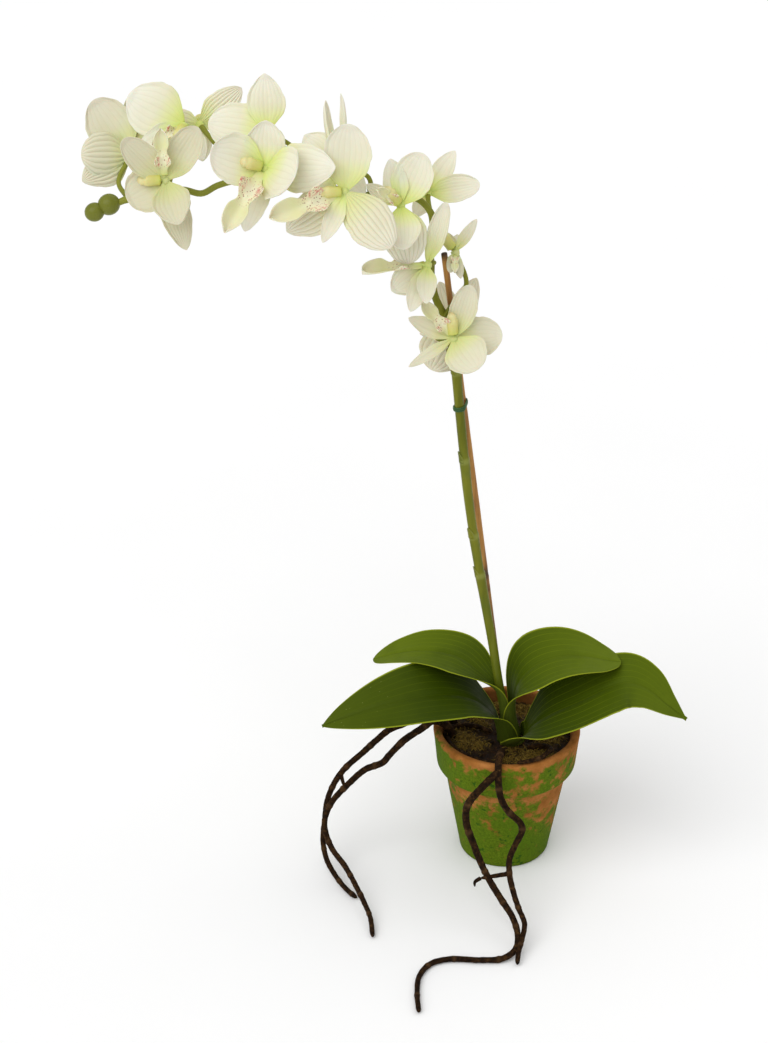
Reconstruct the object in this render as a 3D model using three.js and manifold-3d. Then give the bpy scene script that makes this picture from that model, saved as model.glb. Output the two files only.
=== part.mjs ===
// A moth orchid in a clay pot: four strap leaves, one arching spike of white blooms on a stake,
// and brown aerial roots that trail over the rim down to the surface the pot stands on.
// Millimetres, +Z up. The origin is the middle of the pot's foot; the arch of blooms leans towards -X.

import * as THREE from 'three';
import { mergeVertices } from 'three/addons/utils/BufferGeometryUtils.js';
import Module from 'manifold-3d';

const wasm = await Module();
wasm.setup();

// ---------------------------------------------------------------- driving dimensions

const GAP = 0.3;                    // clearance between pieces that touch on the real thing
const ROOM = 0.6;                   // clearance where one piece is cut back from another
const MERGE_WITHIN = 0.2;           // slivers that a join or a cut leaves are merged within this

const POT_HEIGHT = 105;
const POT_RIM_RADIUS = 54;
const POT_BAND_FOOT_RADIUS = 51;    // lower edge of the rim band
const POT_BAND_HEIGHT = 31;
const POT_SHOULDER_RADIUS = 45.5;   // body just under the band
const POT_FOOT_RADIUS = 33;
const POT_WALL = 6;
const POT_FLOOR = 7;
const POT_SIDES = 36;
const DRAIN_HOLE_RADIUS = 4;
const DRAIN_HOLES_AT = 16;          // distance of each drain hole from the middle

const MIX_LEVEL = 97;               // top of the potting mix
const MIX_ROUGHNESS = 1.6;

const CROWN_AT = new THREE.Vector3(2, -9, 0);
const CROWN_RADIUS = 8;
const CROWN_FOOT = 82;
const CROWN_TOP = 99;

const LEAF_THICKNESS = 1.1;
const LEAF_CLASP_FRONT = 115;       // degrees that a leaf's base wraps round the front of the crown
const LEAF_CLASP_BACK = 60;

const STAKE_RADIUS = 2.1;
const ROOT_RADIUS = 2.5;
const MIX_ROOT_RADIUS = 2;
const HUB_RADIUS = 3;               // the receptacle where a bloom's petals meet
const PETAL_THICKNESS = 0.8;

// The arch of blooms is laid out in a frame that leans back, so that x runs along the arch,
// y runs up the faces of the blooms and z comes out towards whoever looks at them.
const SPRAY_AT = new THREE.Vector3(-60, 0, 515);
const SPRAY_LEAN = 59.9;            // degrees, from the horizontal

// ---------------------------------------------------------------- colours

const materials = {
  clay: new THREE.MeshStandardMaterial({ color: 0x8a8a3a, roughness: 0.95, metalness: 0 }),
  mix: new THREE.MeshStandardMaterial({ color: 0x2a1a10, roughness: 0.9, metalness: 0 }),
  leaf: new THREE.MeshStandardMaterial({ color: 0x4c6a1e, roughness: 0.5, metalness: 0 }),
  stem: new THREE.MeshStandardMaterial({ color: 0x697d28, roughness: 0.5, metalness: 0 }),
  wood: new THREE.MeshStandardMaterial({ color: 0xa56e37, roughness: 0.8, metalness: 0 }),
  tie: new THREE.MeshStandardMaterial({ color: 0x2f5a35, roughness: 0.6, metalness: 0 }),
  root: new THREE.MeshStandardMaterial({ color: 0x33251c, roughness: 0.85, metalness: 0 }),
  petal: new THREE.MeshStandardMaterial({ color: 0xeeecdc, roughness: 0.6, metalness: 0 }),
  lip: new THREE.MeshStandardMaterial({ color: 0xe2e6b4, roughness: 0.6, metalness: 0 }),
  column: new THREE.MeshStandardMaterial({ color: 0xd7d182, roughness: 0.6, metalness: 0 }),
};

// ---------------------------------------------------------------- solids

const radians = THREE.MathUtils.degToRad;
const vector = ([x, y, z]) => new THREE.Vector3(x, y, z);

function solidOf(geometry) {
  const bare = geometry.clone();
  bare.deleteAttribute('normal');
  bare.deleteAttribute('uv');
  const welded = mergeVertices(bare, 1e-4);
  const vertProperties = new Float32Array(welded.attributes.position.array);
  const triVerts = new Uint32Array(welded.index.array);
  return new wasm.Manifold(new wasm.Mesh({ numProp: 3, vertProperties, triVerts }));
}

function geometryOf(solid) {
  const mesh = solid.getMesh();
  const geometry = new THREE.BufferGeometry();
  geometry.setAttribute('position', new THREE.BufferAttribute(new Float32Array(mesh.vertProperties), 3));
  geometry.setIndex(new THREE.BufferAttribute(new Uint32Array(mesh.triVerts), 1));
  geometry.computeVertexNormals();
  return geometry;
}

const join = (solids) => solids.reduce((whole, solid) => whole.add(solid)).simplify(MERGE_WITHIN);
const cut = (solid, tools) => tools.reduce((rest, tool) => rest.subtract(tool), solid).simplify(MERGE_WITHIN);

// The largest body of a solid, without the scraps that a cut leaves.
function mainBody(solid) {
  const bodies = solid.decompose();
  return bodies.reduce((largest, body) => (body.volume() > largest.volume() ? body : largest));
}

function piece(name, geometry, material) {
  const mesh = new THREE.Mesh(geometry, material);
  mesh.name = name;
  return mesh;
}

function ball(centre, radius, widthSides = 6, heightSides = 4) {
  return new THREE.SphereGeometry(radius, widthSides, heightSides).translate(centre.x, centre.y, centre.z);
}

// A closed round stalk along a curve. radiusAt(t) gives its radius from start (0) to end (1).
function stalk(curve, steps, sides, radiusAt) {
  const rings = new THREE.TubeGeometry(curve, steps, 1, sides, false).attributes.position;
  const positions = [];
  const indices = [];
  const corner = new THREE.Vector3();
  for (let step = 0; step <= steps; step += 1) {
    const centre = curve.getPointAt(step / steps);
    for (let side = 0; side < sides; side += 1) {
      corner.fromBufferAttribute(rings, step * (sides + 1) + side);
      corner.sub(centre).multiplyScalar(radiusAt(step / steps)).add(centre);
      positions.push(corner.x, corner.y, corner.z);
    }
  }
  for (let step = 0; step < steps; step += 1) {
    for (let side = 0; side < sides; side += 1) {
      const near = step * sides + side;
      const nearNext = step * sides + (side + 1) % sides;
      indices.push(near, near + sides, nearNext, nearNext, near + sides, nearNext + sides);
    }
  }
  const caps = [curve.getPointAt(0), curve.getPointAt(1)];
  caps.forEach((centre, end) => {
    const hub = positions.length / 3;
    positions.push(centre.x, centre.y, centre.z);
    for (let side = 0; side < sides; side += 1) {
      const here = end * steps * sides + side;
      const next = end * steps * sides + (side + 1) % sides;
      indices.push(hub, end ? next : here, end ? here : next);
    }
  });
  return closedGeometry(positions, indices);
}

function closedGeometry(positions, indices) {
  const geometry = new THREE.BufferGeometry();
  geometry.setAttribute('position', new THREE.Float32BufferAttribute(positions, 3));
  geometry.setIndex(indices);
  return geometry;
}

// A closed blade of even thickness on both sides of surfaceAt(u, v), u from 0 to 1 and v from -1 to 1.
// Both faces are split into triangles alike, so that they never cross where the blade is waved.
function blade(rows, columns, thickness, surfaceAt) {
  const grid = [];
  for (let row = 0; row <= rows; row += 1) {
    const u = Math.sin((Math.PI / 2) * (row / rows));
    for (let column = 0; column <= columns; column += 1) {
      grid.push(surfaceAt(u, (2 * column) / columns - 1));
    }
  }
  const width = columns + 1;
  const at = (row, column) => grid[row * width + column];
  const front = [];
  const back = [];
  for (let row = 0; row <= rows; row += 1) {
    for (let column = 0; column <= columns; column += 1) {
      const along = at(Math.min(row + 1, rows), column).clone().sub(at(Math.max(row - 1, 0), column));
      const across = at(row, Math.min(column + 1, columns)).clone().sub(at(row, Math.max(column - 1, 0)));
      const offset = along.cross(across).setLength(thickness / 2);
      front.push(...at(row, column).clone().add(offset));
      back.push(...at(row, column).clone().sub(offset));
    }
  }
  const indices = [];
  const total = grid.length;
  const quad = (a, b, c, d) => indices.push(a, b, c, a, c, d);
  for (let row = 0; row < rows; row += 1) {
    for (let column = 0; column < columns; column += 1) {
      const a = row * width + column;
      quad(a, a + width, a + width + 1, a + 1);
      const b = a + total;
      indices.push(b, b + width + 1, b + width, b, b + 1, b + width + 1);
    }
    const left = row * width;
    quad(left, left + total, left + width + total, left + width);
    const right = left + columns;
    quad(right, right + width, right + width + total, right + total);
  }
  for (let column = 0; column < columns; column += 1) {
    quad(column, column + 1, column + 1 + total, column + total);
    const end = rows * width + column;
    quad(end, end + total, end + 1 + total, end + 1);
  }
  return closedGeometry([...front, ...back], indices);
}

// ---------------------------------------------------------------- pot and potting mix

function makePot() {
  const bandFoot = POT_HEIGHT - POT_BAND_HEIGHT;
  const slope = (POT_SHOULDER_RADIUS - POT_FOOT_RADIUS) / bandFoot;
  const wallAt = (height) => POT_FOOT_RADIUS + slope * height - POT_WALL;
  const profile = [
    [0, 0],
    [POT_FOOT_RADIUS - 1.5, 0],
    [POT_FOOT_RADIUS, 1.5],
    [POT_SHOULDER_RADIUS, bandFoot],
    [POT_BAND_FOOT_RADIUS - 2.5, bandFoot + 0.5],
    [POT_BAND_FOOT_RADIUS, bandFoot + 3.5],
    [POT_RIM_RADIUS, POT_HEIGHT - 2],
    [POT_RIM_RADIUS - 2, POT_HEIGHT],
    [POT_RIM_RADIUS - POT_WALL + 1, POT_HEIGHT],
    [POT_RIM_RADIUS - POT_WALL, POT_HEIGHT - 2],
    [POT_BAND_FOOT_RADIUS - POT_WALL, bandFoot + 3],
    [wallAt(bandFoot - 3), bandFoot - 3],
    [wallAt(POT_FLOOR), POT_FLOOR],
    [0, POT_FLOOR],
  ];
  const shell = new THREE.LatheGeometry(profile.map(([r, z]) => new THREE.Vector2(r, z)), POT_SIDES);
  const holes = [90, 210, 330].map((turn) => {
    const hole = new THREE.CylinderGeometry(DRAIN_HOLE_RADIUS, DRAIN_HOLE_RADIUS, 4 * POT_FLOOR, 12);
    return solidOf(hole.rotateX(Math.PI / 2).translate(DRAIN_HOLES_AT, 0, 0).rotateZ(radians(turn)));
  });
  return cut(solidOf(shell.rotateX(Math.PI / 2)), holes);
}

// The mix follows the inside of the wall and has a lumpy top that sinks a little towards the wall.
function makeMix() {
  const rings = 5;
  const sides = 24;
  const topRadius = POT_RIM_RADIUS - POT_WALL - 1.2;
  const positions = [0, 0, MIX_LEVEL];
  const indices = [];
  const lump = (x, y) => {
    const broad = Math.sin(x * 0.42 + 1) * Math.cos(y * 0.37);
    return MIX_ROUGHNESS * (broad + 0.5 * Math.sin(x * 0.9 - y * 0.7));
  };
  const ringAt = (radius, height, isTop) => {
    for (let side = 0; side < sides; side += 1) {
      const turn = (2 * Math.PI * side) / sides;
      const x = radius * Math.cos(turn);
      const y = radius * Math.sin(turn);
      positions.push(x, y, height + (isTop ? lump(x, y) : 0));
    }
  };
  for (let ring = 1; ring <= rings; ring += 1) {
    const radius = (topRadius * ring) / rings;
    ringAt(radius, MIX_LEVEL - (ring === rings ? 2 : 0), ring < rings);
  }
  ringAt(POT_BAND_FOOT_RADIUS - POT_WALL - 1, POT_HEIGHT - POT_BAND_HEIGHT + 3, false);
  ringAt(POT_SHOULDER_RADIUS - POT_WALL - 1.5, POT_HEIGHT - POT_BAND_HEIGHT - 3, false);
  ringAt(POT_FOOT_RADIUS - POT_WALL, POT_FLOOR + GAP, false);
  const last = rings + 3;
  for (let side = 0; side < sides; side += 1) {
    const next = (side + 1) % sides;
    indices.push(0, 1 + side, 1 + next);
    for (let ring = 0; ring < last - 1; ring += 1) {
      const inner = 1 + ring * sides;
      const outer = inner + sides;
      indices.push(inner + side, outer + side, outer + next, inner + side, outer + next, inner + next);
    }
  }
  const under = positions.length / 3;
  positions.push(0, 0, POT_FLOOR + GAP);
  for (let side = 0; side < sides; side += 1) {
    const ring = 1 + (last - 1) * sides;
    indices.push(under, ring + (side + 1) % sides, ring + side);
  }
  return solidOf(closedGeometry(positions, indices));
}

// ---------------------------------------------------------------- leaves

// Each leaf is a blade along its midrib. Its base is a sheath that wraps round the crown up to u = clasp,
// and it opens into a shallow channel by u = open. roll tilts the blade about the midrib between the two
// values of rollFrom, and v runs from edge to edge.
const leaves = [
  {
    name: 'leaf_upper_left', azimuth: 167, sheathRadius: 5.6, width: 46, roll: -8, rollFrom: [0.2, 0.5],
    clasp: 0.2, open: 0.55, baseTaper: 1.5, tipTaper: 0.5,
    midrib: [[-5, -8, 122], [-8, -7, 141], [-18, -3, 151], [-36, 6, 161], [-59, 14, 161.5], [-79, 20, 155.5],
      [-98, 24, 147]],
  },
  {
    name: 'leaf_upper_right', azimuth: 7, sheathRadius: 7.2, width: 57, roll: 12, rollFrom: [0.2, 0.5],
    clasp: 0.14, open: 0.55, baseTaper: 1.15, tipTaper: 0.5,
    midrib: [[5, -9, 122], [6, -9, 145], [13, -8.5, 158], [24, -7.5, 166], [38, -6, 169.5], [54, -5, 169],
      [70, -4, 165], [81, -4, 163]],
  },
  {
    name: 'leaf_lower_left', azimuth: 194, sheathRadius: 8.8, width: 57, roll: -18, rollFrom: [0.1, 0.5],
    clasp: 0.03, open: 0.28, baseTaper: 0.6, tipTaper: 0.8,
    midrib: [[-10, -11, 120], [-21, -13, 134], [-36, -15, 141.5], [-58, -21, 145.5], [-87, -27, 142],
      [-118, -32, 134], [-134.5, -34, 127.5]],
  },
  {
    name: 'leaf_lower_right', azimuth: 343, sheathRadius: 10.4, width: 58, roll: 24, rollFrom: [0, 0.3],
    clasp: 0.02, open: 0.24, baseTaper: 0.42, tipTaper: 1,
    midrib: [[12, -17, 108], [20, -20, 121], [32, -22, 131.5], [50, -22, 141], [73, -18, 151], [86, -17, 154],
      [99, -19, 150.5], [114, -23, 139], [128, -25, 127]],
  },
];

// Half the width of a leaf at u, as a share of its greatest half width.
function leafOutline(leaf, u) {
  const swell = Math.max(Math.sin(Math.PI * u ** 0.92), 0);
  return Math.max(0.05, swell ** (u < 0.5 ? leaf.baseTaper : leaf.tipTaper));
}

function leafSurface(leaf) {
  const turn = radians(leaf.azimuth);
  const outward = new THREE.Vector3(Math.cos(turn), Math.sin(turn), 0);
  const foot = CROWN_AT.clone().addScaledVector(outward, leaf.sheathRadius).setZ(CROWN_TOP + GAP + 0.2);
  const upright = foot.clone().setZ(foot.z + 4);
  const midrib = new THREE.CatmullRomCurve3([foot, upright, ...leaf.midrib.map(vector)]);
  const frontSide = -Math.sign(Math.cos(turn));
  return (u, v) => {
    const wrap = radians(v * frontSide > 0 ? LEAF_CLASP_FRONT : LEAF_CLASP_BACK);
    const centre = midrib.getPointAt(u);
    const tangent = midrib.getTangentAt(u);
    const side = new THREE.Vector3(-Math.sin(turn), Math.cos(turn), 0);
    side.addScaledVector(tangent, -side.dot(tangent)).normalize();
    side.applyAxisAngle(tangent, radians(leaf.roll) * THREE.MathUtils.smoothstep(u, ...leaf.rollFrom));
    const normal = tangent.clone().cross(side);
    const open = THREE.MathUtils.smoothstep(u, leaf.clasp, leaf.open);
    const half = THREE.MathUtils.lerp(leaf.sheathRadius * wrap, (leaf.width / 2) * leafOutline(leaf, u), open);
    const arc = THREE.MathUtils.lerp(wrap, radians(16), open ** 0.6);
    const across = (half * Math.sin(arc * v)) / arc;
    const lift = (half * (1 - Math.cos(arc * v))) / arc;
    return centre.addScaledVector(side, across).addScaledVector(normal, lift);
  };
}

// ---------------------------------------------------------------- blooms

const spray = new THREE.Group();
spray.position.copy(SPRAY_AT);
spray.rotation.x = radians(SPRAY_LEAN);
spray.updateMatrixWorld(true);

// Every part of a bloom points somewhere in the spray frame: angle is anticlockwise from +x as its
// face is seen, lift tips it towards +z and roll turns it about its own length. bend curves its
// length towards its front face and cup curls its edges the same way, all in degrees.
// A broad part is a petal and a narrow one a sepal.
const blooms = [
  {
    centre: [-199, 39, -25], stalkFrom: [-198, 7, 0], stalkBy: [-206, 20, -14],
    petals: [
      { angle: 183, length: 35, width: 33, lift: 38, roll: 180, bend: 25, cup: 20, broad: true },
      { angle: 211, length: 38, width: 25, lift: 25, roll: 180, bend: 15, cup: 15 },
      { angle: 124, length: 45, width: 33, lift: -12, bend: 25, cup: 15, broad: true },
      { angle: 86, length: 46, width: 20, lift: -15, bend: 15, cup: 15 },
      { angle: -30, length: 25, width: 14, lift: -25, bend: 15, cup: 10 },
    ],
    column: { angle: 135, lift: -40 }, lip: { angle: 40, lift: -30, length: 26 },
  },
  {
    centre: [-162.5, 58, -14], stalkFrom: [-173, 10, 0], stalkBy: [-169, 38, -26],
    petals: [
      { angle: 153, length: 42, width: 38, lift: 5, bend: -15, cup: -15, broad: true },
      { angle: 206, length: 33, width: 16, lift: -5, bend: 15, cup: 10 },
      { angle: 267, length: 26, width: 12, lift: -25, cup: 10 },
      { angle: 128, length: 20, width: 10, lift: -25, cup: 10 },
      { angle: 300, length: 27, width: 16, lift: -25, cup: 10 },
    ],
    column: { angle: 250, lift: 45 }, lip: { angle: 215, lift: 20, length: 26 },
  },
  {
    centre: [-172, 16, 25], stalkFrom: [-174, 10, 0], stalkBy: [-166, 10, 10],
    petals: [
      { angle: 137, length: 39, width: 21, lift: 15, bend: 10, cup: 20, broad: true },
      { angle: 57, length: 41, width: 23, lift: 5, bend: 10, cup: 15, broad: true },
      { angle: -71, length: 42, width: 28, lift: 20, bend: 30, cup: 40 },
      { angle: -73, length: 47, width: 20, lift: -5, cup: 10 },
      { angle: 207, length: 28, width: 30, lift: -10, bend: 10, cup: 15, broad: true },
    ],
    column: { angle: 180, lift: 10 }, lip: { angle: 94, lift: 25, length: 34 },
  },
  {
    centre: [-107, 23, 35], stalkFrom: [-105, 21, 0], stalkBy: [-100, 16, 18],
    petals: [
      { angle: 166, length: 38, width: 35, lift: 8, bend: 20, cup: 20, broad: true },
      { angle: -26, length: 33, width: 38, lift: 35, bend: 20, cup: 15, broad: true },
      { angle: 88, length: 31, width: 27, lift: 5, bend: 20, cup: 15 },
      { angle: 252, length: 43, width: 19, lift: -8, cup: 15 },
      { angle: -2, length: 48, width: 33, lift: 18, bend: -5, cup: -15 },
    ],
    column: { angle: 168, lift: 35 }, lip: { angle: 240, lift: 22, length: 52 },
  },
  {
    centre: [-107, 52, -8], stalkFrom: [-89, 20, 0], stalkBy: [-90, 42, -14],
    petals: [
      { angle: 93, length: 39, width: 26, bend: -5, cup: -10 },
      { angle: 169, length: 41, width: 34, lift: -5, bend: -15, cup: -15, broad: true },
      { angle: -37, length: 14, width: 12, lift: -10 },
      { angle: -97, length: 28, width: 13, lift: -20 },
      { angle: 226, length: 27, width: 16, lift: -20, broad: true },
    ],
    column: { angle: 240, lift: 60 }, lip: { angle: 262, lift: 15, length: 20 },
  },
  {
    centre: [-154, 61.5, -38], stalkFrom: [-107, 21, 0], stalkBy: [-137, 41, -18],
    petals: [
      { angle: 43, length: 39, width: 21, lift: -5, roll: 180, bend: 10, cup: 5 },
      { angle: -86, length: 25, width: 15, lift: -10, roll: 180, bend: 10, cup: 10 },
      { angle: 160, length: 28, width: 14, lift: -20, roll: 180 },
      { angle: 205, length: 29, width: 13, lift: -20, roll: 180 },
      { angle: 7, length: 28, width: 13, lift: -25, roll: 180 },
    ],
    column: { angle: 90, lift: -60 }, lip: { angle: 60, lift: -50, length: 26 },
  },
  {
    centre: [-55, 7, 38], stalkFrom: [-58, 12, 0], stalkBy: [-58, 11, 20],
    petals: [
      { angle: 87, length: 44, width: 32, lift: 5, bend: 15, cup: 10, broad: true },
      { angle: -51, length: 48, width: 31, lift: 20, roll: 180, bend: 20, cup: 15, broad: true },
      { angle: 247, length: 38, width: 13, lift: 15, cup: 10 },
      { angle: 212, length: 48, width: 30, lift: -10, roll: 180, bend: 15, cup: 15 },
      { angle: 63, length: 33, width: 10, lift: -25 },
    ],
    column: { angle: 182, lift: 20 }, lip: { angle: 200, lift: 14, length: 52 },
  },
  {
    centre: [-60, 27.5, 6], stalkFrom: [-38, 8, 0], stalkBy: [-40.5, 22, -4],
    petals: [
      { angle: 203, length: 30, width: 33, lift: 8, bend: -15, cup: -10, broad: true },
      { angle: 136, length: 32, width: 26, lift: -10, bend: -10, cup: -10 },
      { angle: 116, length: 47, width: 16, lift: -15, roll: 75, bend: 30, cup: 40 },
      { angle: 72, length: 51, width: 13, lift: -15, roll: -75, bend: 32, cup: 35 },
      { angle: -45, length: 25, width: 16, lift: -5 },
    ],
    column: { angle: 120, lift: 50 }, lip: { angle: 110, lift: 20, length: 20 },
  },
  {
    centre: [-19, 1, 15], stalkFrom: [-17, 7, 0], stalkBy: [-18, 4, 6],
    petals: [
      { angle: 103, length: 31, width: 17, lift: 10, bend: -10, cup: 20 },
      { angle: 67, length: 37, width: 27, lift: 5, bend: 10, cup: 10, broad: true },
      { angle: -87, length: 35, width: 25, lift: 17, bend: 18, cup: 10 },
      { angle: -82, length: 40, width: 30, lift: -8, roll: 180, bend: 20, cup: 15, broad: true },
      { angle: 147, length: 28, width: 11, lift: -15, roll: 180 },
    ],
    column: { angle: 135, lift: 40 }, lip: { angle: 150, lift: 45, length: 24 },
  },
  {
    centre: [-1, 14, -25], stalkFrom: [2, -5, -3], stalkBy: [0, 4, -15],
    petals: [
      { angle: 57, length: 34, width: 15, lift: -5, cup: 10 },
      { angle: 8, length: 36, width: 19, lift: 5, bend: 10, cup: 15, broad: true },
      { angle: -118, length: 18, width: 12, lift: -10 },
      { angle: 118, length: 24, width: 14, lift: -20 },
      { angle: 178, length: 26, width: 12, lift: -20 },
    ],
    column: { angle: 120, lift: 50 }, lip: { angle: 150, lift: 10, length: 18 },
  },
  {
    centre: [-1.5, -36.5, -2], stalkFrom: [2, -34, -19], stalkBy: [3, -34, -10],
    petals: [
      { angle: 73, length: 44, width: 13, lift: 10, bend: 10, cup: 15, broad: true },
      { angle: 250, length: 33, width: 15, lift: 5, cup: 15 },
      { angle: 268, length: 28, width: 14, lift: 20, cup: 25 },
      { angle: 77, length: 27, width: 8, lift: -20 },
      { angle: 216, length: 29, width: 23, lift: -5, cup: 20 },
    ],
    column: { angle: 190, lift: -45 }, lip: { angle: 184, lift: 2, roll: 35, length: 43 },
  },
  {
    centre: [17.4, -25.4, -24], stalkFrom: [11, -68, -36], stalkBy: [25, -47, -30],
    petals: [
      { angle: 56, length: 26, width: 8, lift: 5 },
      { angle: -78, length: 19, width: 7, lift: 10 },
      { angle: 119, length: 16, width: 9, lift: -15 },
      { angle: 256, length: 18, width: 8, lift: 30 },
      { angle: 82, length: 15, width: 8, lift: -35 },
    ],
    column: { angle: 128, lift: 10 }, lip: { angle: 268, lift: 40, length: 18 },
  },
  {
    centre: [16.5, -83, -22], stalkFrom: [14, -90, -50], stalkBy: [19, -88, -36],
    petals: [
      { angle: 72, length: 38, width: 19, lift: 8, bend: 15, cup: 25, broad: true },
      { angle: 157, length: 33.5, width: 13, lift: 10, cup: 10 },
      { angle: -54, length: 29, width: 30, lift: 20, cup: 10, broad: true },
      { angle: 4, length: 33, width: 27, lift: -10, cup: 10, broad: true },
      { angle: 213, length: 36, width: 8, lift: 5 },
    ],
    column: { angle: 97, lift: 30 }, lip: { angle: 133, lift: 22, length: 33 },
  },
  {
    centre: [18, -73, -66], stalkFrom: [13, -84, -48], stalkBy: [6, -80, -58],
    petals: [
      { angle: 241, length: 33, width: 32, lift: 5, roll: 180, bend: 10, cup: 10, broad: true },
      { angle: 66, length: 37, width: 17, lift: 5, roll: 180 },
      { angle: 108, length: 33, width: 16, roll: 180 },
      { angle: -27, length: 25, width: 13, roll: 180 },
      { angle: 190, length: 24, width: 10, roll: 180 },
    ],
    column: { angle: 90, lift: -70 }, lip: { angle: 270, lift: -50, length: 26 },
  },
];

// Turns a part that lies along +x with its front face to +z into the direction that it points.
function aim({ angle, lift = 0, roll = 0 }) {
  const along = new THREE.Vector3(
    Math.cos(radians(lift)) * Math.cos(radians(angle)),
    Math.cos(radians(lift)) * Math.sin(radians(angle)),
    Math.sin(radians(lift)),
  );
  const front = new THREE.Vector3(0, 0, 1).addScaledVector(along, -along.z).normalize();
  front.applyAxisAngle(along, radians(roll));
  return new THREE.Matrix4().makeBasis(along, front.clone().cross(along), front);
}

// Half the width of a petal or sepal at u, as a share of its greatest half width.
function petalOutline(u, broad) {
  const claw = THREE.MathUtils.lerp(0.6, 1, THREE.MathUtils.smoothstep(u, 0, broad ? 0.3 : 0.4));
  const round = Math.sin(Math.PI * u ** (broad ? 1.08 : 0.92));
  return Math.max(Math.max(round, 0) ** (broad ? 0.5 : 0.66) * claw, 0.07);
}

function petalSurface({ length, width, bend = 0, cup = 0, broad = false }) {
  const turn = radians(bend) || 1e-3;
  const curl = radians(cup) || 1e-3;
  const rib = broad ? 0.45 : 0.3;
  return (u, v) => {
    const half = (width / 2) * petalOutline(u, broad);
    const here = turn * u;
    const rise = (half * (1 - Math.cos(curl * v))) / curl;
    const ribs = rib * Math.cos(2 * Math.PI * v) * Math.sqrt(Math.max(0, Math.sin(Math.PI * u)));
    const out = rise + ribs;
    return new THREE.Vector3(
      (length * Math.sin(here)) / turn - out * Math.sin(here),
      (half * Math.sin(curl * v)) / curl,
      (length * (1 - Math.cos(here))) / turn + out * Math.cos(here),
    );
  };
}

// The five petals and sepals of a bloom on their receptacle. swell grows them all for clearance.
function makePetals(bloom, swell) {
  const parts = bloom.petals.map((petal) => {
    const grid = petal.broad ? [4, 4] : [3, 2];
    const grown = { ...petal, length: petal.length + swell, width: petal.width + 2 * swell };
    const geometry = blade(...grid, PETAL_THICKNESS + 2 * swell, petalSurface(grown));
    return solidOf(geometry.applyMatrix4(aim(petal)));
  });
  return join([solidOf(ball(new THREE.Vector3(), HUB_RADIUS + swell)), ...parts]);
}

// The column is the blunt finger in the throat of the bloom. It starts just off the receptacle.
function makeColumn(bloom, swell) {
  const start = HUB_RADIUS + GAP + 0.1;
  const reach = 18;
  const curve = new THREE.QuadraticBezierCurve3(
    new THREE.Vector3(start, 0, 0), new THREE.Vector3(reach * 0.6, 0, 0), new THREE.Vector3(reach, 0, -2),
  );
  const radiusAt = (t) => 4 * Math.sqrt(Math.max(0.14, 1 - t ** 3)) * (1 - 0.1 * t) + swell;
  return solidOf(stalk(curve, 3, 6, radiusAt).applyMatrix4(aim(bloom.column)));
}

// The lip is one boat-shaped blade: a narrow claw, two side lobes that stand up, and a long middle lobe.
function makeLip(bloom) {
  const { length } = bloom.lip;
  const start = HUB_RADIUS + GAP + 0.2;
  const sideLobe = (u) => Math.exp(-(((u - 0.36) / 0.15) ** 2));
  return solidOf(blade(5, 4, PETAL_THICKNESS, (u, v) => {
    const middleLobe = 0.07 + 0.07 * THREE.MathUtils.smoothstep(u, 0.45, 0.72);
    const half = length * (middleLobe + 0.14 * sideLobe(u)) * (1 - 0.7 * u ** 8);
    const stand = length * 0.2 * sideLobe(u) * v * v;
    const boat = 0.08 * length * v * v - 0.1 * length * u * u;
    return new THREE.Vector3(THREE.MathUtils.lerp(start, length, u), half * v, stand + boat);
  }).applyMatrix4(aim(bloom.lip)));
}

blooms.forEach((bloom, index) => {
  const bloomGroup = new THREE.Group();
  bloomGroup.position.set(...bloom.centre);
  spray.add(bloomGroup);
  const petalRoom = makePetals(bloom, ROOM);
  const column = mainBody(cut(makeColumn(bloom, 0), [petalRoom]));
  const lip = mainBody(cut(makeLip(bloom), [petalRoom, makeColumn(bloom, ROOM)]));
  const number = String(index + 1).padStart(2, '0');
  bloomGroup.add(
    piece(`bloom_${number}_petals`, geometryOf(makePetals(bloom, 0)), materials.petal),
    piece(`bloom_${number}_lip`, geometryOf(lip), materials.lip),
    piece(`bloom_${number}_column`, geometryOf(column), materials.column),
  );
});

// ---------------------------------------------------------------- spike, buds, stake and tie

const inSpray = (point) => vector(point).applyMatrix4(spray.matrixWorld);

// The spike's lower stem, in the part's own axes, and its arch, in the spray frame.
const STEM = [
  [2, -9, CROWN_TOP - 8], [1.5, -9, 106], [-6, -8, 141], [-12, -7, 179], [-24, -5, 249], [-31, -4, 297],
  [-36, -3, 344], [-38.5, -2.4, 369], [-43, -1, 412], [-49.5, 0, 436],
];
const ARCH = [
  [3.5, -53, -28], [1, -34, -19], [1, -17, -9], [2, -5, -3], [-4, 4, 0], [-13, 9, 0], [-26, 10, 0], [-39, 9, 0],
  [-56, 12, 0], [-72, 16, 0], [-89, 20, 0], [-105, 21, 0], [-118, 20, 0], [-130, 18.5, 0], [-140, 15.5, 0],
  [-150, 10.5, 0], [-163, 13, 0], [-174, 10, 0], [-184, 8, 0], [-198, 7, 0], [-207, 3.5, 0],
];
const STEM_RADIUS = 3.2;
const ARCH_RADIUS = 1.7;
const STALK_RADIUS = 1.5;
const BUD_SIZES = [{ at: [-211, 3.4, 0], radius: 7.2 }, { at: [-220.5, -1.6, 0], radius: 6.4 }];
const NODES_AT = [0.219, 0.281, 0.359];   // where a sheath rings the stem, as shares of the spike's length

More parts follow.
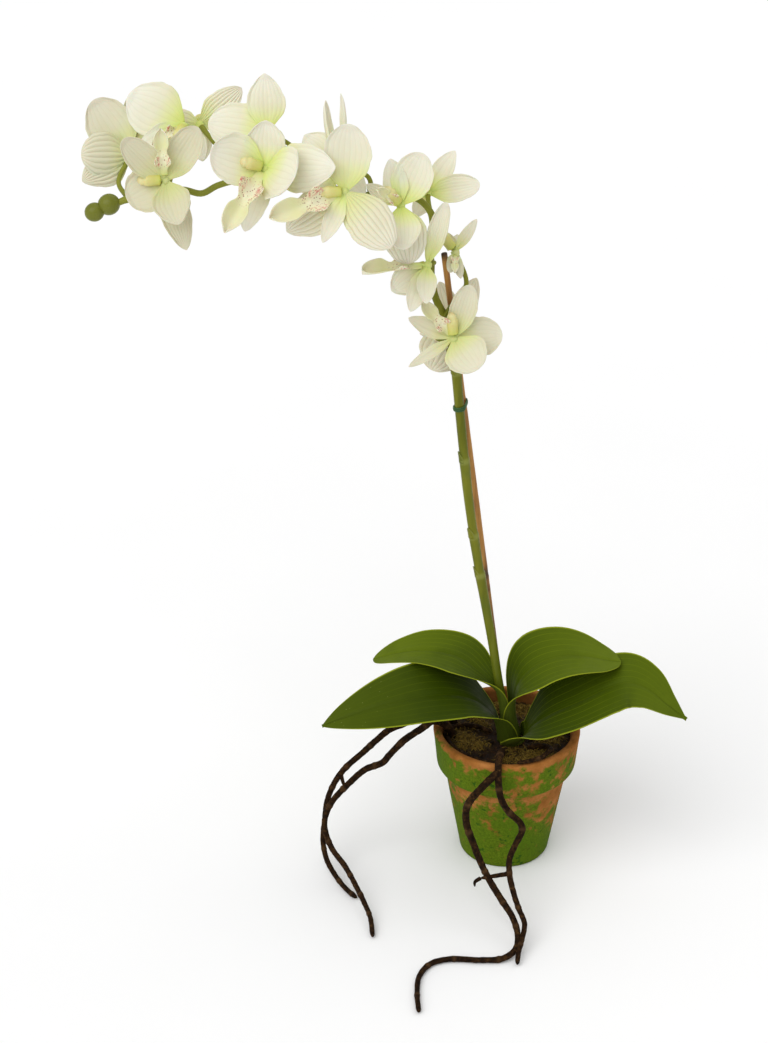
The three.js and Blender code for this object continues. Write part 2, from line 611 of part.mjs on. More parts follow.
// The short stalks, buds and sheath rings are grown as one piece with the stem. Where a stalk meets
// its bloom it stops short of the petals.
function makeSpike() {
  const path = new THREE.CatmullRomCurve3([...STEM.map(vector), ...ARCH.map(inSpray)]);
  const radiusAt = (t) => {
    const taper = THREE.MathUtils.lerp(STEM_RADIUS, ARCH_RADIUS, THREE.MathUtils.smoothstep(t, 0.42, 0.66));
    const sheaths = NODES_AT.map((node) => 0.7 * Math.exp(-(((t - node) / 0.008) ** 2)));
    return taper + sheaths.reduce((sum, sheath) => sum + sheath, 0);
  };
  const axis = solidOf(stalk(path, 64, 6, radiusAt));
  const stalks = blooms.map((bloom) => {
    const route = new THREE.CatmullRomCurve3([bloom.stalkFrom, bloom.stalkBy, bloom.centre].map(inSpray));
    return solidOf(stalk(route, 4, 5, () => STALK_RADIUS));
  });
  const buds = BUD_SIZES.map(({ at, radius }) => solidOf(ball(inSpray(at), radius, 8, 6)));
  const room = blooms.map((bloom) => {
    const place = spray.matrixWorld.clone().multiply(new THREE.Matrix4().makeTranslation(...bloom.centre));
    return makePetals(bloom, ROOM).transform(place.elements);
  });
  return mainBody(cut(join([axis, ...stalks, ...buds]), room));
}

const STAKE_TOP = new THREE.Vector3(-50, 3, 482);
const STAKE_FOOT = new THREE.Vector3(2, 17, 76);

function makeStake(radius) {
  return solidOf(stalk(new THREE.LineCurve3(STAKE_TOP, STAKE_FOOT), 1, 8, () => radius));
}

// The tie is a flat band round the stem and the stake, held level with one point of the stem.
const TIE_AT = 7;                   // which point of STEM
const TIE_HEIGHT = 4;
const TIE_WALL = 0.8;
const TIE_SLACK = 0.6;

function makeTie() {
  const stem = vector(STEM[TIE_AT]);
  const down = (STAKE_TOP.z - stem.z) / (STAKE_TOP.z - STAKE_FOOT.z);
  const stake = STAKE_TOP.clone().lerp(STAKE_FOOT, down);
  const apart = stake.clone().sub(stem);
  const band = (wall) => {
    const path = new THREE.Path();
    path.absarc(0, 0, STEM_RADIUS + TIE_SLACK + wall, Math.PI / 2, 1.5 * Math.PI);
    path.absarc(apart.length(), 0, STAKE_RADIUS + TIE_SLACK + wall, -Math.PI / 2, Math.PI / 2);
    return path.getPoints(5);
  };
  const outline = new THREE.Shape(band(TIE_WALL));
  outline.holes.push(new THREE.Path(band(0)));
  const loop = new THREE.ExtrudeGeometry(outline, { depth: TIE_HEIGHT, bevelEnabled: false });
  loop.translate(0, 0, -TIE_HEIGHT / 2).rotateZ(Math.atan2(apart.y, apart.x));
  const lean = vector(STEM[TIE_AT + 1]).sub(vector(STEM[TIE_AT - 1])).normalize();
  loop.applyQuaternion(new THREE.Quaternion().setFromUnitVectors(new THREE.Vector3(0, 0, 1), lean));
  return solidOf(loop.translate(...stem));
}

// ---------------------------------------------------------------- aerial roots

const FRONT_ROOTS = [
  [[-5, -22, 92], [-5, -36, 107], [-8, -52, 108.5], [-8, -60, 95], [-6, -64, 85], [-1, -68, 77], [8, -72, 69],
    [9, -74, 64], [4, -79, 55], [0, -85, 47], [0, -92, 38], [3, -101, 28], [6, -109, 22], [10, -119, 16],
    [8, -130, 11], [5, -140, 6], [4, -148, 2.4]],
  [[-8, -57, 104], [-19, -61, 94], [-30, -66, 81], [-31, -70, 69], [-26, -78, 56], [-20, -87, 44], [-14, -95, 35],
    [-6, -105, 26], [2, -116, 18], [5, -127, 11], [3, -136, 6], [-6, -142, 3], [-22, -143, 2.4], [-44, -142, 2.4],
    [-57, -147, 2.4], [-65, -160, 2.4], [-67, -178, 2.4], [-66, -199, 2.4]],
  [[0, -91, 39], [-12, -93, 38], [-21, -94, 37]],
];
const LEFT_ROOTS = [
  [[-36, 13, 90], [-42, 15, 105.5], [-54, 14, 110.5], [-71, 10, 102], [-86, 6, 97], [-94, 5, 90], [-106, 2, 79],
    [-118, -2, 69], [-126, -6, 59], [-132, -12, 46], [-134, -20, 32], [-135, -30, 21], [-132, -40, 12],
    [-125, -52, 6], [-118, -62, 3], [-110, -72, 2.4]],
  [[-38, 0, 90], [-43.5, -1, 105], [-54, -2, 110], [-63, -2, 103], [-75, -3, 94], [-86, -5, 82], [-91, -6, 76],
    [-104, -8, 71], [-115, -10, 61], [-127, -16, 50], [-132, -20, 42], [-134, -23, 31], [-129, -38, 23],
    [-118, -55, 17], [-110, -72, 12], [-104, -86, 8], [-100, -98, 5], [-98, -117, 2.4]],
  [[-122, -4, 64], [-119, -12, 57.5]],
];
const MIX_ROOTS = [
  [[-44, 4, 99], [-38, 8, 98.5], [-29, 9.5, 98.5], [-19, 7, 98.5], [-11, 1, 98]],
  [[-44, -6, 98], [-41.5, -17, 99.5], [-33.5, -29.5, 100.5], [-20.5, -39.5, 101], [-9, -44, 100.5]],
  [[15, -20, 98.5], [22, -17, 98.5], [29, -20, 99.5], [31.5, -28, 103], [29.5, -36, 107.6], [24, -43.5, 107.6],
    [15, -48.5, 107.5], [5, -51, 107.3]],
];

function makeRoots(routes, radius, swell = 0) {
  return join(routes.map((points) => {
    const route = new THREE.CatmullRomCurve3(points.map(vector));
    const steps = Math.max(2, Math.round(route.getLength() / 10));
    const radiusAt = (t) => radius * (1 - 0.3 * t + 0.08 * Math.sin(t * 40)) + swell;
    return solidOf(stalk(route, steps, 5, radiusAt));
  }));
}

// ---------------------------------------------------------------- assembly

const crown = new THREE.CylinderGeometry(CROWN_RADIUS, CROWN_RADIUS - 2, CROWN_TOP - CROWN_FOOT, 14);
crown.rotateX(Math.PI / 2).translate(CROWN_AT.x, CROWN_AT.y, (CROWN_TOP + CROWN_FOOT) / 2);
const crownHole = new THREE.CylinderGeometry(CROWN_RADIUS + GAP, CROWN_RADIUS + GAP, 40, 14);
crownHole.rotateX(Math.PI / 2).translate(CROWN_AT.x, CROWN_AT.y, CROWN_FOOT + 20 - GAP);
const spikeHole = new THREE.CylinderGeometry(STEM_RADIUS + 1.4, STEM_RADIUS + 1.4, 30, 10);
spikeHole.rotateX(Math.PI / 2).translate(CROWN_AT.x, CROWN_AT.y, CROWN_TOP + 6);

const stemFoot = new THREE.CatmullRomCurve3(STEM.slice(0, 5).map(vector));
const stemRoom = solidOf(stalk(stemFoot, 12, 8, () => STEM_RADIUS + 0.8));
const leafSolid = (leaf, swell) => {
  const surface = leafSurface({ ...leaf, width: leaf.width + 2 * swell });
  return solidOf(blade(10, 5, LEAF_THICKNESS + 2 * swell, surface));
};
const makeLeaf = (leaf, index) => {
  const inner = leaves.slice(0, index).map((other) => leafSolid(other, ROOM));
  const body = mainBody(cut(leafSolid(leaf, 0), [stemRoom, makeStake(STAKE_RADIUS + GAP), ...inner]));
  return piece(leaf.name, geometryOf(body), materials.leaf);
};

const frontRoots = makeRoots(FRONT_ROOTS, ROOT_RADIUS);
const leftRoots = makeRoots(LEFT_ROOTS, ROOT_RADIUS);
const mixRoots = MIX_ROOTS.map((route) => makeRoots([route], MIX_ROOT_RADIUS));
const grooves = [
  makeRoots(FRONT_ROOTS, ROOT_RADIUS, GAP),
  makeRoots(LEFT_ROOTS, ROOT_RADIUS, GAP),
  makeRoots(MIX_ROOTS, MIX_ROOT_RADIUS, GAP),
];
const mix = mainBody(cut(makeMix(), [solidOf(crownHole), makeStake(STAKE_RADIUS + GAP), ...grooves]));

const orchid = new THREE.Group();
orchid.add(
  piece('pot', geometryOf(makePot()), materials.clay),
  piece('potting_mix', geometryOf(mix), materials.mix),
  piece('crown', geometryOf(cut(solidOf(crown), [solidOf(spikeHole)])), materials.stem),
  ...leaves.map(makeLeaf),
  piece('flower_spike', geometryOf(makeSpike()), materials.stem),
  piece('stake', geometryOf(makeStake(STAKE_RADIUS)), materials.wood),
  piece('tie', geometryOf(makeTie()), materials.tie),
  piece('aerial_roots_front', geometryOf(frontRoots), materials.root),
  piece('aerial_roots_left', geometryOf(leftRoots), materials.root),
  ...mixRoots.map((root, index) => piece(`surface_root_${index + 1}`, geometryOf(root), materials.root)),
  spray,
);

export default orchid;
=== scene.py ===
from collections import namedtuple
from functools import partial
from math import cos, exp, hypot, pi, radians, sin

import bpy
import numpy as np
from mathutils import Matrix, Vector, noise


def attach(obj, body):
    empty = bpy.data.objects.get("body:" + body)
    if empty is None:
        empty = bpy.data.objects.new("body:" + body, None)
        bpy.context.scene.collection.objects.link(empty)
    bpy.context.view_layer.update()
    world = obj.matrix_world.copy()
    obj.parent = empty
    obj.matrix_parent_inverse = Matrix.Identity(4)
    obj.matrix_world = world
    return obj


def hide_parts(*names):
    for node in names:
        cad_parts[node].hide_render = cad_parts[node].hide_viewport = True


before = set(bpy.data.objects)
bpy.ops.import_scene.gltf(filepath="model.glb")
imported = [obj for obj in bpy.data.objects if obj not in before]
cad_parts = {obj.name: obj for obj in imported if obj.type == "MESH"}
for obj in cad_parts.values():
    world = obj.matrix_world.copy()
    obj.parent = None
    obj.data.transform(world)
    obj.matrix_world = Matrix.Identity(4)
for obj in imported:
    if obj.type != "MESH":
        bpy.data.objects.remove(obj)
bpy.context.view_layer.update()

# ---- camera and light

MM = 0.001
CAMERA_AT = (-0.090, -1.660, 1.240)
CAMERA_DOWN = 30.1    # degrees below the horizon
SENSOR = 36    # mm, along the frame's long side
LENS = 94.4    # mm

scene = bpy.context.scene
camera = bpy.data.objects.new("camera", bpy.data.cameras.new("camera"))
scene.collection.objects.link(camera)
camera.location = CAMERA_AT
camera.rotation_euler = (radians(90 - CAMERA_DOWN), 0, 0)
camera.data.lens = LENS
camera.data.sensor_width = SENSOR
camera.data.clip_start = 0.05
camera.data.clip_end = 60
scene.camera = camera
scene.view_settings.view_transform = "Standard"
scene.view_settings.look = "None"


def sun(name, towards, strength, spread):
    """A soft sun that stands in the direction towards. spread is its width in degrees."""
    light = bpy.data.lights.new(name, "SUN")
    light.energy = strength
    light.angle = radians(spread)
    holder = bpy.data.objects.new(name, light)
    holder.rotation_euler = Vector(towards).to_track_quat("Z", "Y").to_euler()
    scene.collection.objects.link(holder)


sun("key", (-0.55, -0.7, 1.0), 1.6, 60)
sun("back", (0.5, 0.6, 1.0), 0.4, 60)

world = bpy.data.worlds.new("studio")
world.use_nodes = True
background = world.node_tree.nodes["Background"].inputs
background["Color"].default_value = (1, 1, 1, 1)
background["Strength"].default_value = 0.6
scene.world = world


# ---- materials

NOISE_SPAN = (0.3, 0.7)    # where nearly all values of a noise lie
POT_TOP = 0.106    # m, where the clay's height scale reaches 1


def linear(colour):
    """A colour from 0 to 255 as the shader wants it."""
    parts = (c / 255 for c in colour)
    return (*(c / 12.92 if c <= 0.04045 else ((c + 0.055) / 1.055) ** 2.4 for c in parts), 1.0)


class Paint:
    """A node material, built up from the Principled shader backwards."""

    def __init__(self, name):
        self.material = bpy.data.materials.new(name)
        self.material.use_nodes = True
        self.tree = self.material.node_tree
        self.place = self.node("ShaderNodeTexCoord").outputs["Object"]

    def node(self, kind, inputs=(), **settings):
        made = self.tree.nodes.new(kind)
        for key, value in settings.items():
            setattr(made, key, value)
        for key, value in dict(inputs).items():
            self.put(made.inputs[key], value)
        return made

    def put(self, socket, value):
        if isinstance(value, bpy.types.NodeSocket):
            self.tree.links.new(value, socket)
        else:
            socket.default_value = value

    def finish(self, base, rough, normal=None, gloss=0.5, waxy=False):
        """Sets the shader's sockets and gives the material."""
        sockets = {"Base Color": base, "Roughness": rough, "Specular IOR Level": gloss}
        if normal is not None:
            sockets["Normal"] = normal
        if waxy:
            sockets |= {"Subsurface Weight": 0.1, "Subsurface Scale": 0.003}
        for key, value in sockets.items():
            self.put(self.tree.nodes["Principled BSDF"].inputs[key], value)
        return self.material

    def value(self, name):
        """A value that the mesh keeps for each point."""
        return self.node("ShaderNodeAttribute", attribute_name=name).outputs["Fac"]

    def axes(self):
        return self.node("ShaderNodeSeparateXYZ", {"Vector": self.place}).outputs

    def noise(self, scale, detail=4, rough=0.55, stretch=(1, 1, 1), distortion=0.0):
        at = self.node("ShaderNodeMapping", {"Vector": self.place, "Scale": stretch}).outputs[0]
        made = self.node("ShaderNodeTexNoise", {
            "Vector": at, "Scale": scale, "Detail": detail, "Roughness": rough, "Distortion": distortion})
        return made.outputs["Fac"]

    def cells(self, scale):
        return self.node("ShaderNodeTexVoronoi", {"Vector": self.place, "Scale": scale}).outputs["Distance"]

    def math(self, operation, a, b=0.0):
        return self.node("ShaderNodeMath", {0: a, 1: b}, operation=operation).outputs[0]

    def size(self, a):
        return self.math("ABSOLUTE", a)

    def times(self, a, b):
        return self.math("MULTIPLY", a, b)

    def plus(self, a, b):
        return self.math("ADD", a, b)

    def minus(self, a, b):
        return self.math("SUBTRACT", a, b)

    def ramp(self, factor, *stops):
        """stops are (position, colour) or (position, grey from 0 to 1)."""
        made = self.node("ShaderNodeValToRGB", {"Fac": factor})
        elements = made.color_ramp.elements
        while len(elements) < len(stops):
            elements.new(0.5)
        for element, (position, colour) in zip(elements, stops):
            element.position = position
            element.color = linear(colour) if isinstance(colour, tuple) else (colour, colour, colour, 1)
        return made.outputs["Color"]

    def mix(self, factor, a, b):
        b = linear(b) if isinstance(b, tuple) else b
        node = self.node("ShaderNodeMix", {"Factor": factor, "A": a, "B": b}, data_type="RGBA")
        return node.outputs["Result"]

    def range(self, value, low, high, most=1.0, least=0.0):
        """Goes smoothly from least to most as value goes from low to high."""
        return self.node("ShaderNodeMapRange", {
            "Value": value, "From Min": low, "From Max": high, "To Min": least, "To Max": most},
            interpolation_type="SMOOTHSTEP").outputs[0]

    def rough(self, grain, low, high):
        return self.range(grain, *NOISE_SPAN, high, low)

    def bump(self, height, distance, strength, under=None):
        """distance is in metres, and under is a normal that this one is laid over."""
        made = self.node("ShaderNodeBump", {"Height": height, "Distance": distance, "Strength": strength})
        if under is not None:
            self.put(made.inputs["Normal"], under)
        return made.outputs["Normal"]


def petal_paint():
    p = Paint("petal")
    under = p.value("under")
    base = p.ramp(p.value("along"), (0.0, (200, 214, 104)), (0.16, (214, 223, 134)), (0.32, (222, 226, 166)),
                  (0.5, (228, 226, 198)), (1.0, (233, 230, 216)))
    # Painted shade in the valleys between the pleats, stronger on the petals' backs.
    valley_shade = p.range(p.size(p.math("COSINE", p.value("phase"))), 0.5, 0.0)
    base = p.mix(p.times(valley_shade, p.plus(0.12, p.times(under, 0.5))), base, (178, 172, 136))
    base = p.mix(p.range(p.noise(60, 5), 0.45, 0.75, 0.35), base, (215, 210, 182))
    base = p.mix(p.times(under, 0.25), base, (218, 213, 182))
    # Painted shade: a bloom that lies in shadow is darkened by its own amount.
    base = p.mix(p.value("tone"), base, (190, 186, 146))
    grain = p.noise(900, 3)
    normal = p.bump(grain, 0.0001, 0.4, p.bump(p.noise(160, 4), 0.0004, 0.25))
    return p.finish(base, p.rough(grain, 0.5, 0.66), normal, gloss=0.25, waxy=True)


def lip_paint():
    p = Paint("lip")
    base = p.ramp(p.value("along"), (0.0, (206, 210, 120)), (0.3, (234, 230, 200)), (0.65, (222, 222, 172)),
                  (1.0, (230, 226, 198)))
    red = p.times(p.value("red"), p.range(p.noise(520, 3, stretch=(1, 1, 0.5)), 0.5, 0.6))
    dots = p.times(p.range(p.cells(560), 0.32, 0.18), p.value("dots"))
    base = p.mix(p.times(dots, 0.8), base, (134, 58, 46))
    base = p.mix(p.times(red, 0.85), base, (206, 92, 92))
    return p.finish(base, p.rough(p.noise(700, 3), 0.45, 0.6), p.bump(p.noise(300, 4), 0.0003, 0.3),
                    waxy=True)


def column_paint():
    p = Paint("column")
    base = p.ramp(p.value("along"), (0.0, (196, 200, 94)), (0.45, (214, 207, 130)), (0.85, (223, 215, 156)),
                  (1.0, (208, 194, 134)))
    base = p.mix(p.range(p.noise(200, 4), 0.45, 0.75, 0.4), base, (200, 192, 104))
    return p.finish(base, p.rough(p.noise(800, 3), 0.42, 0.58), p.bump(p.noise(500, 4), 0.0002, 0.3),
                    waxy=True)


def leaf_paint():
    p = Paint("leaf")
    across = p.value("across")
    wide = p.size(across)
    base = p.ramp(p.value("along"), (0.0, (58, 70, 6)), (0.2, (48, 62, 2)), (0.45, (64, 80, 4)),
                  (0.7, (82, 98, 12)), (1.0, (96, 112, 22)))
    veins = p.size(p.math("SINE", p.times(across, 15.7)))
    base = p.mix(p.range(veins, 0.3, 0.0, 0.6), base, (98, 114, 16))
    fine = p.size(p.math("SINE", p.times(across, 47)))
    base = p.mix(p.range(fine, 0.4, 0.0, 0.25), base, (96, 110, 14))
    base = p.mix(p.range(p.noise(28, 5), 0.4, 0.75, 0.45), base, (54, 70, 4))
    # Painted shade along the midrib's crease: the blade is darker near its middle line.
    base = p.mix(p.range(wide, 0.05, 0.0, 0.15), base, (38, 50, 4))
    base = p.mix(p.times(p.value("under"), 0.55), base, (88, 100, 34))
    base = p.mix(p.value("shade"), base, (30, 44, 0))
    base = p.mix(p.range(wide, 0.945, 0.985), base, (140, 150, 34))
    flecks = p.range(p.cells(240), 0.1, 0.04, 0.35)
    base = p.mix(p.times(flecks, p.range(p.noise(9, 2), 0.55, 0.65)), base, (178, 188, 110))
    normal = p.bump(p.noise(300, 4, stretch=(0.2, 1, 1)), 0.0003, 0.35)
    return p.finish(base, p.rough(p.noise(90, 4), 0.42, 0.56), normal, gloss=0.05)


def stem_paint():
    p = Paint("stem")
    height = p.axes()["Z"]
    base = p.ramp(p.noise(130, 4, stretch=(1, 1, 0.12)), (0.3, (92, 96, 14)), (0.55, (114, 116, 28)),
                  (0.8, (132, 130, 46)))
    base = p.mix(p.range(p.noise(36, 4), 0.5, 0.75, 0.5), base, (74, 92, 28))
    base = p.mix(p.range(height, 0.24, 0.12, 0.75), base, (78, 92, 12))
    base = p.mix(p.range(height, 0.43, 0.49, 0.6), base, (142, 146, 58))
    base = p.mix(p.value("joint"), base, (150, 156, 84))
    base = p.mix(p.value("dark"), base, (58, 66, 10))
    rough = p.minus(p.rough(p.noise(300, 3), 0.38, 0.55), p.times(p.value("gloss"), 0.26))
    normal = p.bump(p.noise(420, 4, stretch=(1, 1, 0.08)), 0.0004, 0.5)
    return p.finish(base, rough, normal, gloss=0.15)


def wood_paint():
    p = Paint("wood")
    streak = p.noise(240, 5, stretch=(1, 1, 0.05))
    base = p.ramp(streak, (0.3, (130, 84, 34)), (0.5, (174, 122, 56)), (0.75, (194, 146, 78)))
    base = p.mix(p.value("dark"), base, (70, 48, 30))
    base = p.mix(p.range(p.noise(40, 4), 0.5, 0.7, 0.4), base, (120, 76, 40))
    return p.finish(base, p.rough(streak, 0.6, 0.8), p.bump(streak, 0.0005, 0.5))


def tie_paint():
    p = Paint("tie")
    fibre = p.noise(900, 3, stretch=(1, 1, 3))
    base = p.ramp(fibre, (0.3, (30, 70, 30)), (0.7, (62, 106, 50)))
    return p.finish(base, p.rough(fibre, 0.5, 0.75), p.bump(fibre, 0.0003, 0.5))


def root_paint():
    p = Paint("root")
    bark = p.noise(330, 6, 0.7)
    base = p.ramp(bark, (0.36, (14, 7, 2)), (0.48, (36, 21, 9)), (0.6, (60, 40, 19)), (0.74, (108, 80, 45)))
    base = p.mix(p.range(p.noise(45, 4), 0.45, 0.7, 0.6), base, (26, 15, 6))
    base = p.mix(p.times(p.value("joint"), 0.4), base, (96, 70, 44))
    return p.finish(base, p.rough(bark, 0.62, 0.85), p.bump(bark, 0.0012, 0.9), gloss=0.06)


def clay_paint():
    """Orange clay under patches of moss, which lie thickest low on the pot and on its band."""
    p = Paint("clay")
    axes = p.axes()
    height = p.math("DIVIDE", axes["Z"], POT_TOP)
    speckle = p.noise(620, 5, 0.75)
    patches = p.plus(p.times(p.noise(34, 6, 0.6, distortion=0.3), 0.3), p.times(p.noise(125, 5, 0.62), 0.55))
    patches = p.plus(patches, p.times(speckle, 0.15))
    lean = p.ramp(height, (0.0, 0.62), (0.3, 0.58), (0.5, 0.535), (0.6, 0.51), (0.7, 0.49), (0.72, 0.56),
                  (0.86, 0.57), (0.93, 0.53), (0.965, 0.46), (1.0, 0.39))
    side = p.times(p.range(p.size(axes["X"]), 0.006, 0.03, 0.055), p.range(height, 0.42, 0.6))
    lean = p.minus(lean, p.times(side, p.range(height, 0.72, 0.69)))
    lean = p.minus(lean, p.times(axes["X"], 0.7))
    moss = p.range(p.plus(patches, p.minus(lean, 0.5)), 0.45, 0.55)
    inside = p.value("inside")
    moss = p.times(moss, p.minus(1.0, inside))
    clay = p.ramp(p.noise(60, 6, 0.6), (0.3, (126, 78, 28)), (0.5, (156, 100, 46)), (0.75, (186, 124, 70)))
    clay = p.mix(p.range(speckle, 0.5, 0.7, 0.5), clay, (112, 80, 34))
    green = p.ramp(speckle, (0.3, (62, 78, 4)), (0.5, (82, 104, 12)), (0.7, (102, 124, 26)))
    green = p.mix(p.range(p.noise(38, 5), 0.42, 0.7, 0.6), green, (74, 104, 12))
    green = p.mix(p.range(p.noise(170, 3), 0.62, 0.7, 0.8), green, (24, 70, 10))
    base = p.mix(moss, clay, green)
    flecks = p.times(p.range(p.noise(210, 6, 0.7), 0.6, 0.68), p.range(height, 0.72, 0.66))
    base = p.mix(p.times(flecks, 0.55), base, (60, 62, 12))
    # Painted shade inside the pot's mouth: the clay darkens from the rim inwards.
    base = p.mix(p.times(inside, 0.5), base, (96, 54, 30))
    rise = p.times(moss, p.range(speckle, 0.2, 0.8, least=0.7))
    normal = p.bump(p.noise(900, 4), 0.0003, 0.4, p.bump(rise, 0.0005, 0.4))
    return p.finish(base, p.rough(speckle, 0.8, 0.97), normal, gloss=0.08)


def mix_paint():
    p = Paint("mix")
    lumps = p.noise(300, 6, 0.7)
    base = p.ramp(lumps, (0.3, (8, 4, 2)), (0.52, (34, 18, 7)), (0.66, (66, 40, 16)), (0.8, (112, 76, 34)))
    fibre = p.ramp(p.noise(500, 4, 0.6), (0.3, (96, 72, 20)), (0.55, (138, 112, 42)), (0.8, (188, 164, 84)))
    base = p.mix(p.value("moss"), base, fibre)
    return p.finish(base, p.rough(lumps, 0.7, 0.95), p.bump(lumps, 0.001, 0.8), gloss=0.2)


paints = {
    "petal": petal_paint(), "lip": lip_paint(), "column": column_paint(), "leaf": leaf_paint(),
    "stem": stem_paint(), "wood": wood_paint(), "tie": tie_paint(), "root": root_paint(),
    "clay": clay_paint(), "mix": mix_paint(),
}


# ---- shapes, in millimetres

def unit(v):
    v = np.asarray(v, float)
    return v / np.maximum(np.linalg.norm(v, axis=-1, keepdims=True), 1e-12)


def square(v, axis):
    """v turned square to axis, one long."""
    return unit(v - axis * v.dot(axis))


def smoothstep(x, a, b):
    t = np.clip((np.asarray(x, float) - a) / (b - a), 0, 1)
    return t * t * (3 - 2 * t)


def hump(x, middle, spread):
    return np.exp(-((x - middle) / spread) ** 2)


def turns(sides):
    """The angles of the corners of a ring."""
    return np.arange(sides) * 2 * pi / sides


def grid(rows, columns):
    """The places along and across a blade, as two arrays."""
    return np.broadcast_arrays(rows[:, None], columns[None, :])


def lengths(path):
    """How far along a path each of its points is."""
    return np.concatenate([[0], np.cumsum(np.linalg.norm(np.diff(path, axis=0), axis=1))])


def fan(a, b, tip):
    """Triangles from the edges between two rows of points to a tip. -1 stands for no fourth corner."""
    return np.stack([a, b, np.full(len(a), tip), np.full(len(a), -1)], -1)


class Shape:
    """Points, faces and values of each point, gathered for one piece."""

    def __init__(self):
        self.points, self.faces, self.values, self.count = [], [], {}, 0

    def add(self, points, faces, **values):
        """values are numbers, or arrays with one number for each point."""
        points = np.asarray(points, float).reshape(-1, 3)
        faces = np.asarray(faces)
        self.faces.append(np.where(faces < 0, -1, faces + self.count))
        self.points.append(points)
        for name in sorted({*self.values, *values}):
            given = np.broadcast_to(np.ravel(values.get(name, 0.0)), (len(points),))
            self.values.setdefault(name, [np.zeros(self.count)]).append(given)
        self.count += len(points)

    def build(self, name, paint, nodes=(), matrix=None):
        points = np.concatenate(self.points)
        if matrix is not None:
            m = np.array(matrix)
            points = points @ m[:3, :3].T + m[:3, 3]
        faces = [[int(c) for c in f if c >= 0] for f in np.concatenate(self.faces)]
        mesh = bpy.data.meshes.new(name)
        mesh.from_pydata((points * MM).tolist(), [], faces)
        for key, lists in self.values.items():
            layer = mesh.attributes.new(key, "FLOAT", "POINT")
            layer.data.foreach_set("value", np.concatenate(lists).astype(np.float32))
        mesh.polygons.foreach_set("use_smooth", np.ones(len(faces), bool))
        mesh.materials.append(paints[paint])
        mesh.update()
        piece = bpy.data.objects.new(name, mesh)
        scene.collection.objects.link(piece)
        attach(piece, "root")
        if nodes:
            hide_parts(*nodes)
        return piece


def sheet(shape, points, front, back, **values):
    """Closes a grid of points (rows, columns, 3) into a blade. front and back are heights on its normal."""
    rows, columns = points.shape[:2]
    normal = unit(np.cross(np.gradient(points, axis=0), np.gradient(points, axis=1)))
    both = np.concatenate([points + normal * front[..., None], points + normal * back[..., None]])
    index = np.arange(rows * columns).reshape(rows, columns)
    under = index + rows * columns

    def quads(a, b, c, d):
        return np.stack([a, b, c, d], -1).reshape(-1, 4)
    faces = [
        quads(index[:-1, :-1], index[1:, :-1], index[1:, 1:], index[:-1, 1:]),
        quads(under[:-1, :-1], under[:-1, 1:], under[1:, 1:], under[1:, :-1]),
        quads(index[:-1, 0], under[:-1, 0], under[1:, 0], index[1:, 0]),
        quads(index[:-1, -1], index[1:, -1], under[1:, -1], under[:-1, -1]),
        quads(index[0, :-1], index[0, 1:], under[0, 1:], under[0, :-1]),
        quads(index[-1, :-1], under[-1, :-1], under[-1, 1:], index[-1, 1:]),
    ]
    doubled = {key: np.tile(np.ravel(v), 2) for key, v in values.items()}
    shape.add(both, np.concatenate(faces), under=np.repeat([0.0, 1.0], rows * columns), **doubled)


def tube(shape, path, radius, sides=12, **values):
    """A closed round tube along path (n, 3). radius is (n,) or (n, sides), and values are (n,)."""
    path = np.asarray(path, float)
    count = len(path)
    if np.ndim(radius) < 2:
        radius = np.reshape(radius, (-1, 1))
    radius = np.broadcast_to(radius, (count, sides))
    along = unit(np.gradient(path, axis=0))
    normals = [unit(np.cross(along[0], (0, 0, 1) if abs(along[0][2]) < 0.9 else (1, 0, 0)))]
    for i in range(1, count):
        normals.append(square(normals[-1], along[i]))
    normals = np.array(normals)
    across = np.cross(along, normals)
    turn = turns(sides)
    ring = np.cos(turn)[None, :, None] * normals[:, None] + np.sin(turn)[None, :, None] * across[:, None]
    points = path[:, None] + ring * radius[..., None]
    ends = [path[0] - along[0] * radius[0].mean() * 0.35, path[-1] + along[-1] * radius[-1].mean() * 0.35]
    index = np.arange(count * sides).reshape(count, sides)
    turned = np.roll(index, -1, 1)
    body = np.stack([index[:-1], turned[:-1], turned[1:], index[1:]], -1).reshape(-1, 4)
    start = fan(turned[0], index[0], count * sides)
    end = fan(index[-1], turned[-1], count * sides + 1)
    spread = {}
    for key, v in values.items():
        v = np.broadcast_to(v, (count,))
        spread[key] = np.concatenate([np.repeat(v, sides), [v[0], v[-1]]])
    shape.add(np.concatenate([points.reshape(-1, 3), ends]), np.concatenate([body, start, end]), **spread)


def spline(points, spacing):
    """Points about spacing apart along a smooth curve through the given ones."""
    p = np.asarray(points, float)
    p = np.concatenate([[2 * p[0] - p[1]], p, [2 * p[-1] - p[-2]]])
    dense = []
    for i in range(1, len(p) - 2):
        t = np.cumsum([0, *[np.linalg.norm(p[j + 1] - p[j]) ** 0.5 for j in range(i - 1, i + 2)]])
        s = np.linspace(t[1], t[2], 24, endpoint=False)[:, None]

        def between(j, k, a, b):
            return (t[k] - s) / (t[k] - t[j]) * a + (s - t[j]) / (t[k] - t[j]) * b
        first, second, third = (between(k, k + 1, p[i + k - 1], p[i + k]) for k in range(3))
        dense.append(between(1, 2, between(0, 2, first, second), between(1, 3, second, third)))
    dense = np.concatenate([*dense, p[-2:-1]])
    length = lengths(dense)
    at = np.linspace(0, length[-1], max(3, round(length[-1] / spacing) + 1))
    return np.stack([np.interp(at, length, dense[:, k]) for k in range(3)], 1)


def roughness(path, scale, seed):
    """A number from about -1 to 1 for each point of a path, smooth along it."""
    return np.array([noise.noise(Vector(p) * scale + Vector((seed, 0, 0))) for p in path])


# ---- pot and potting mix

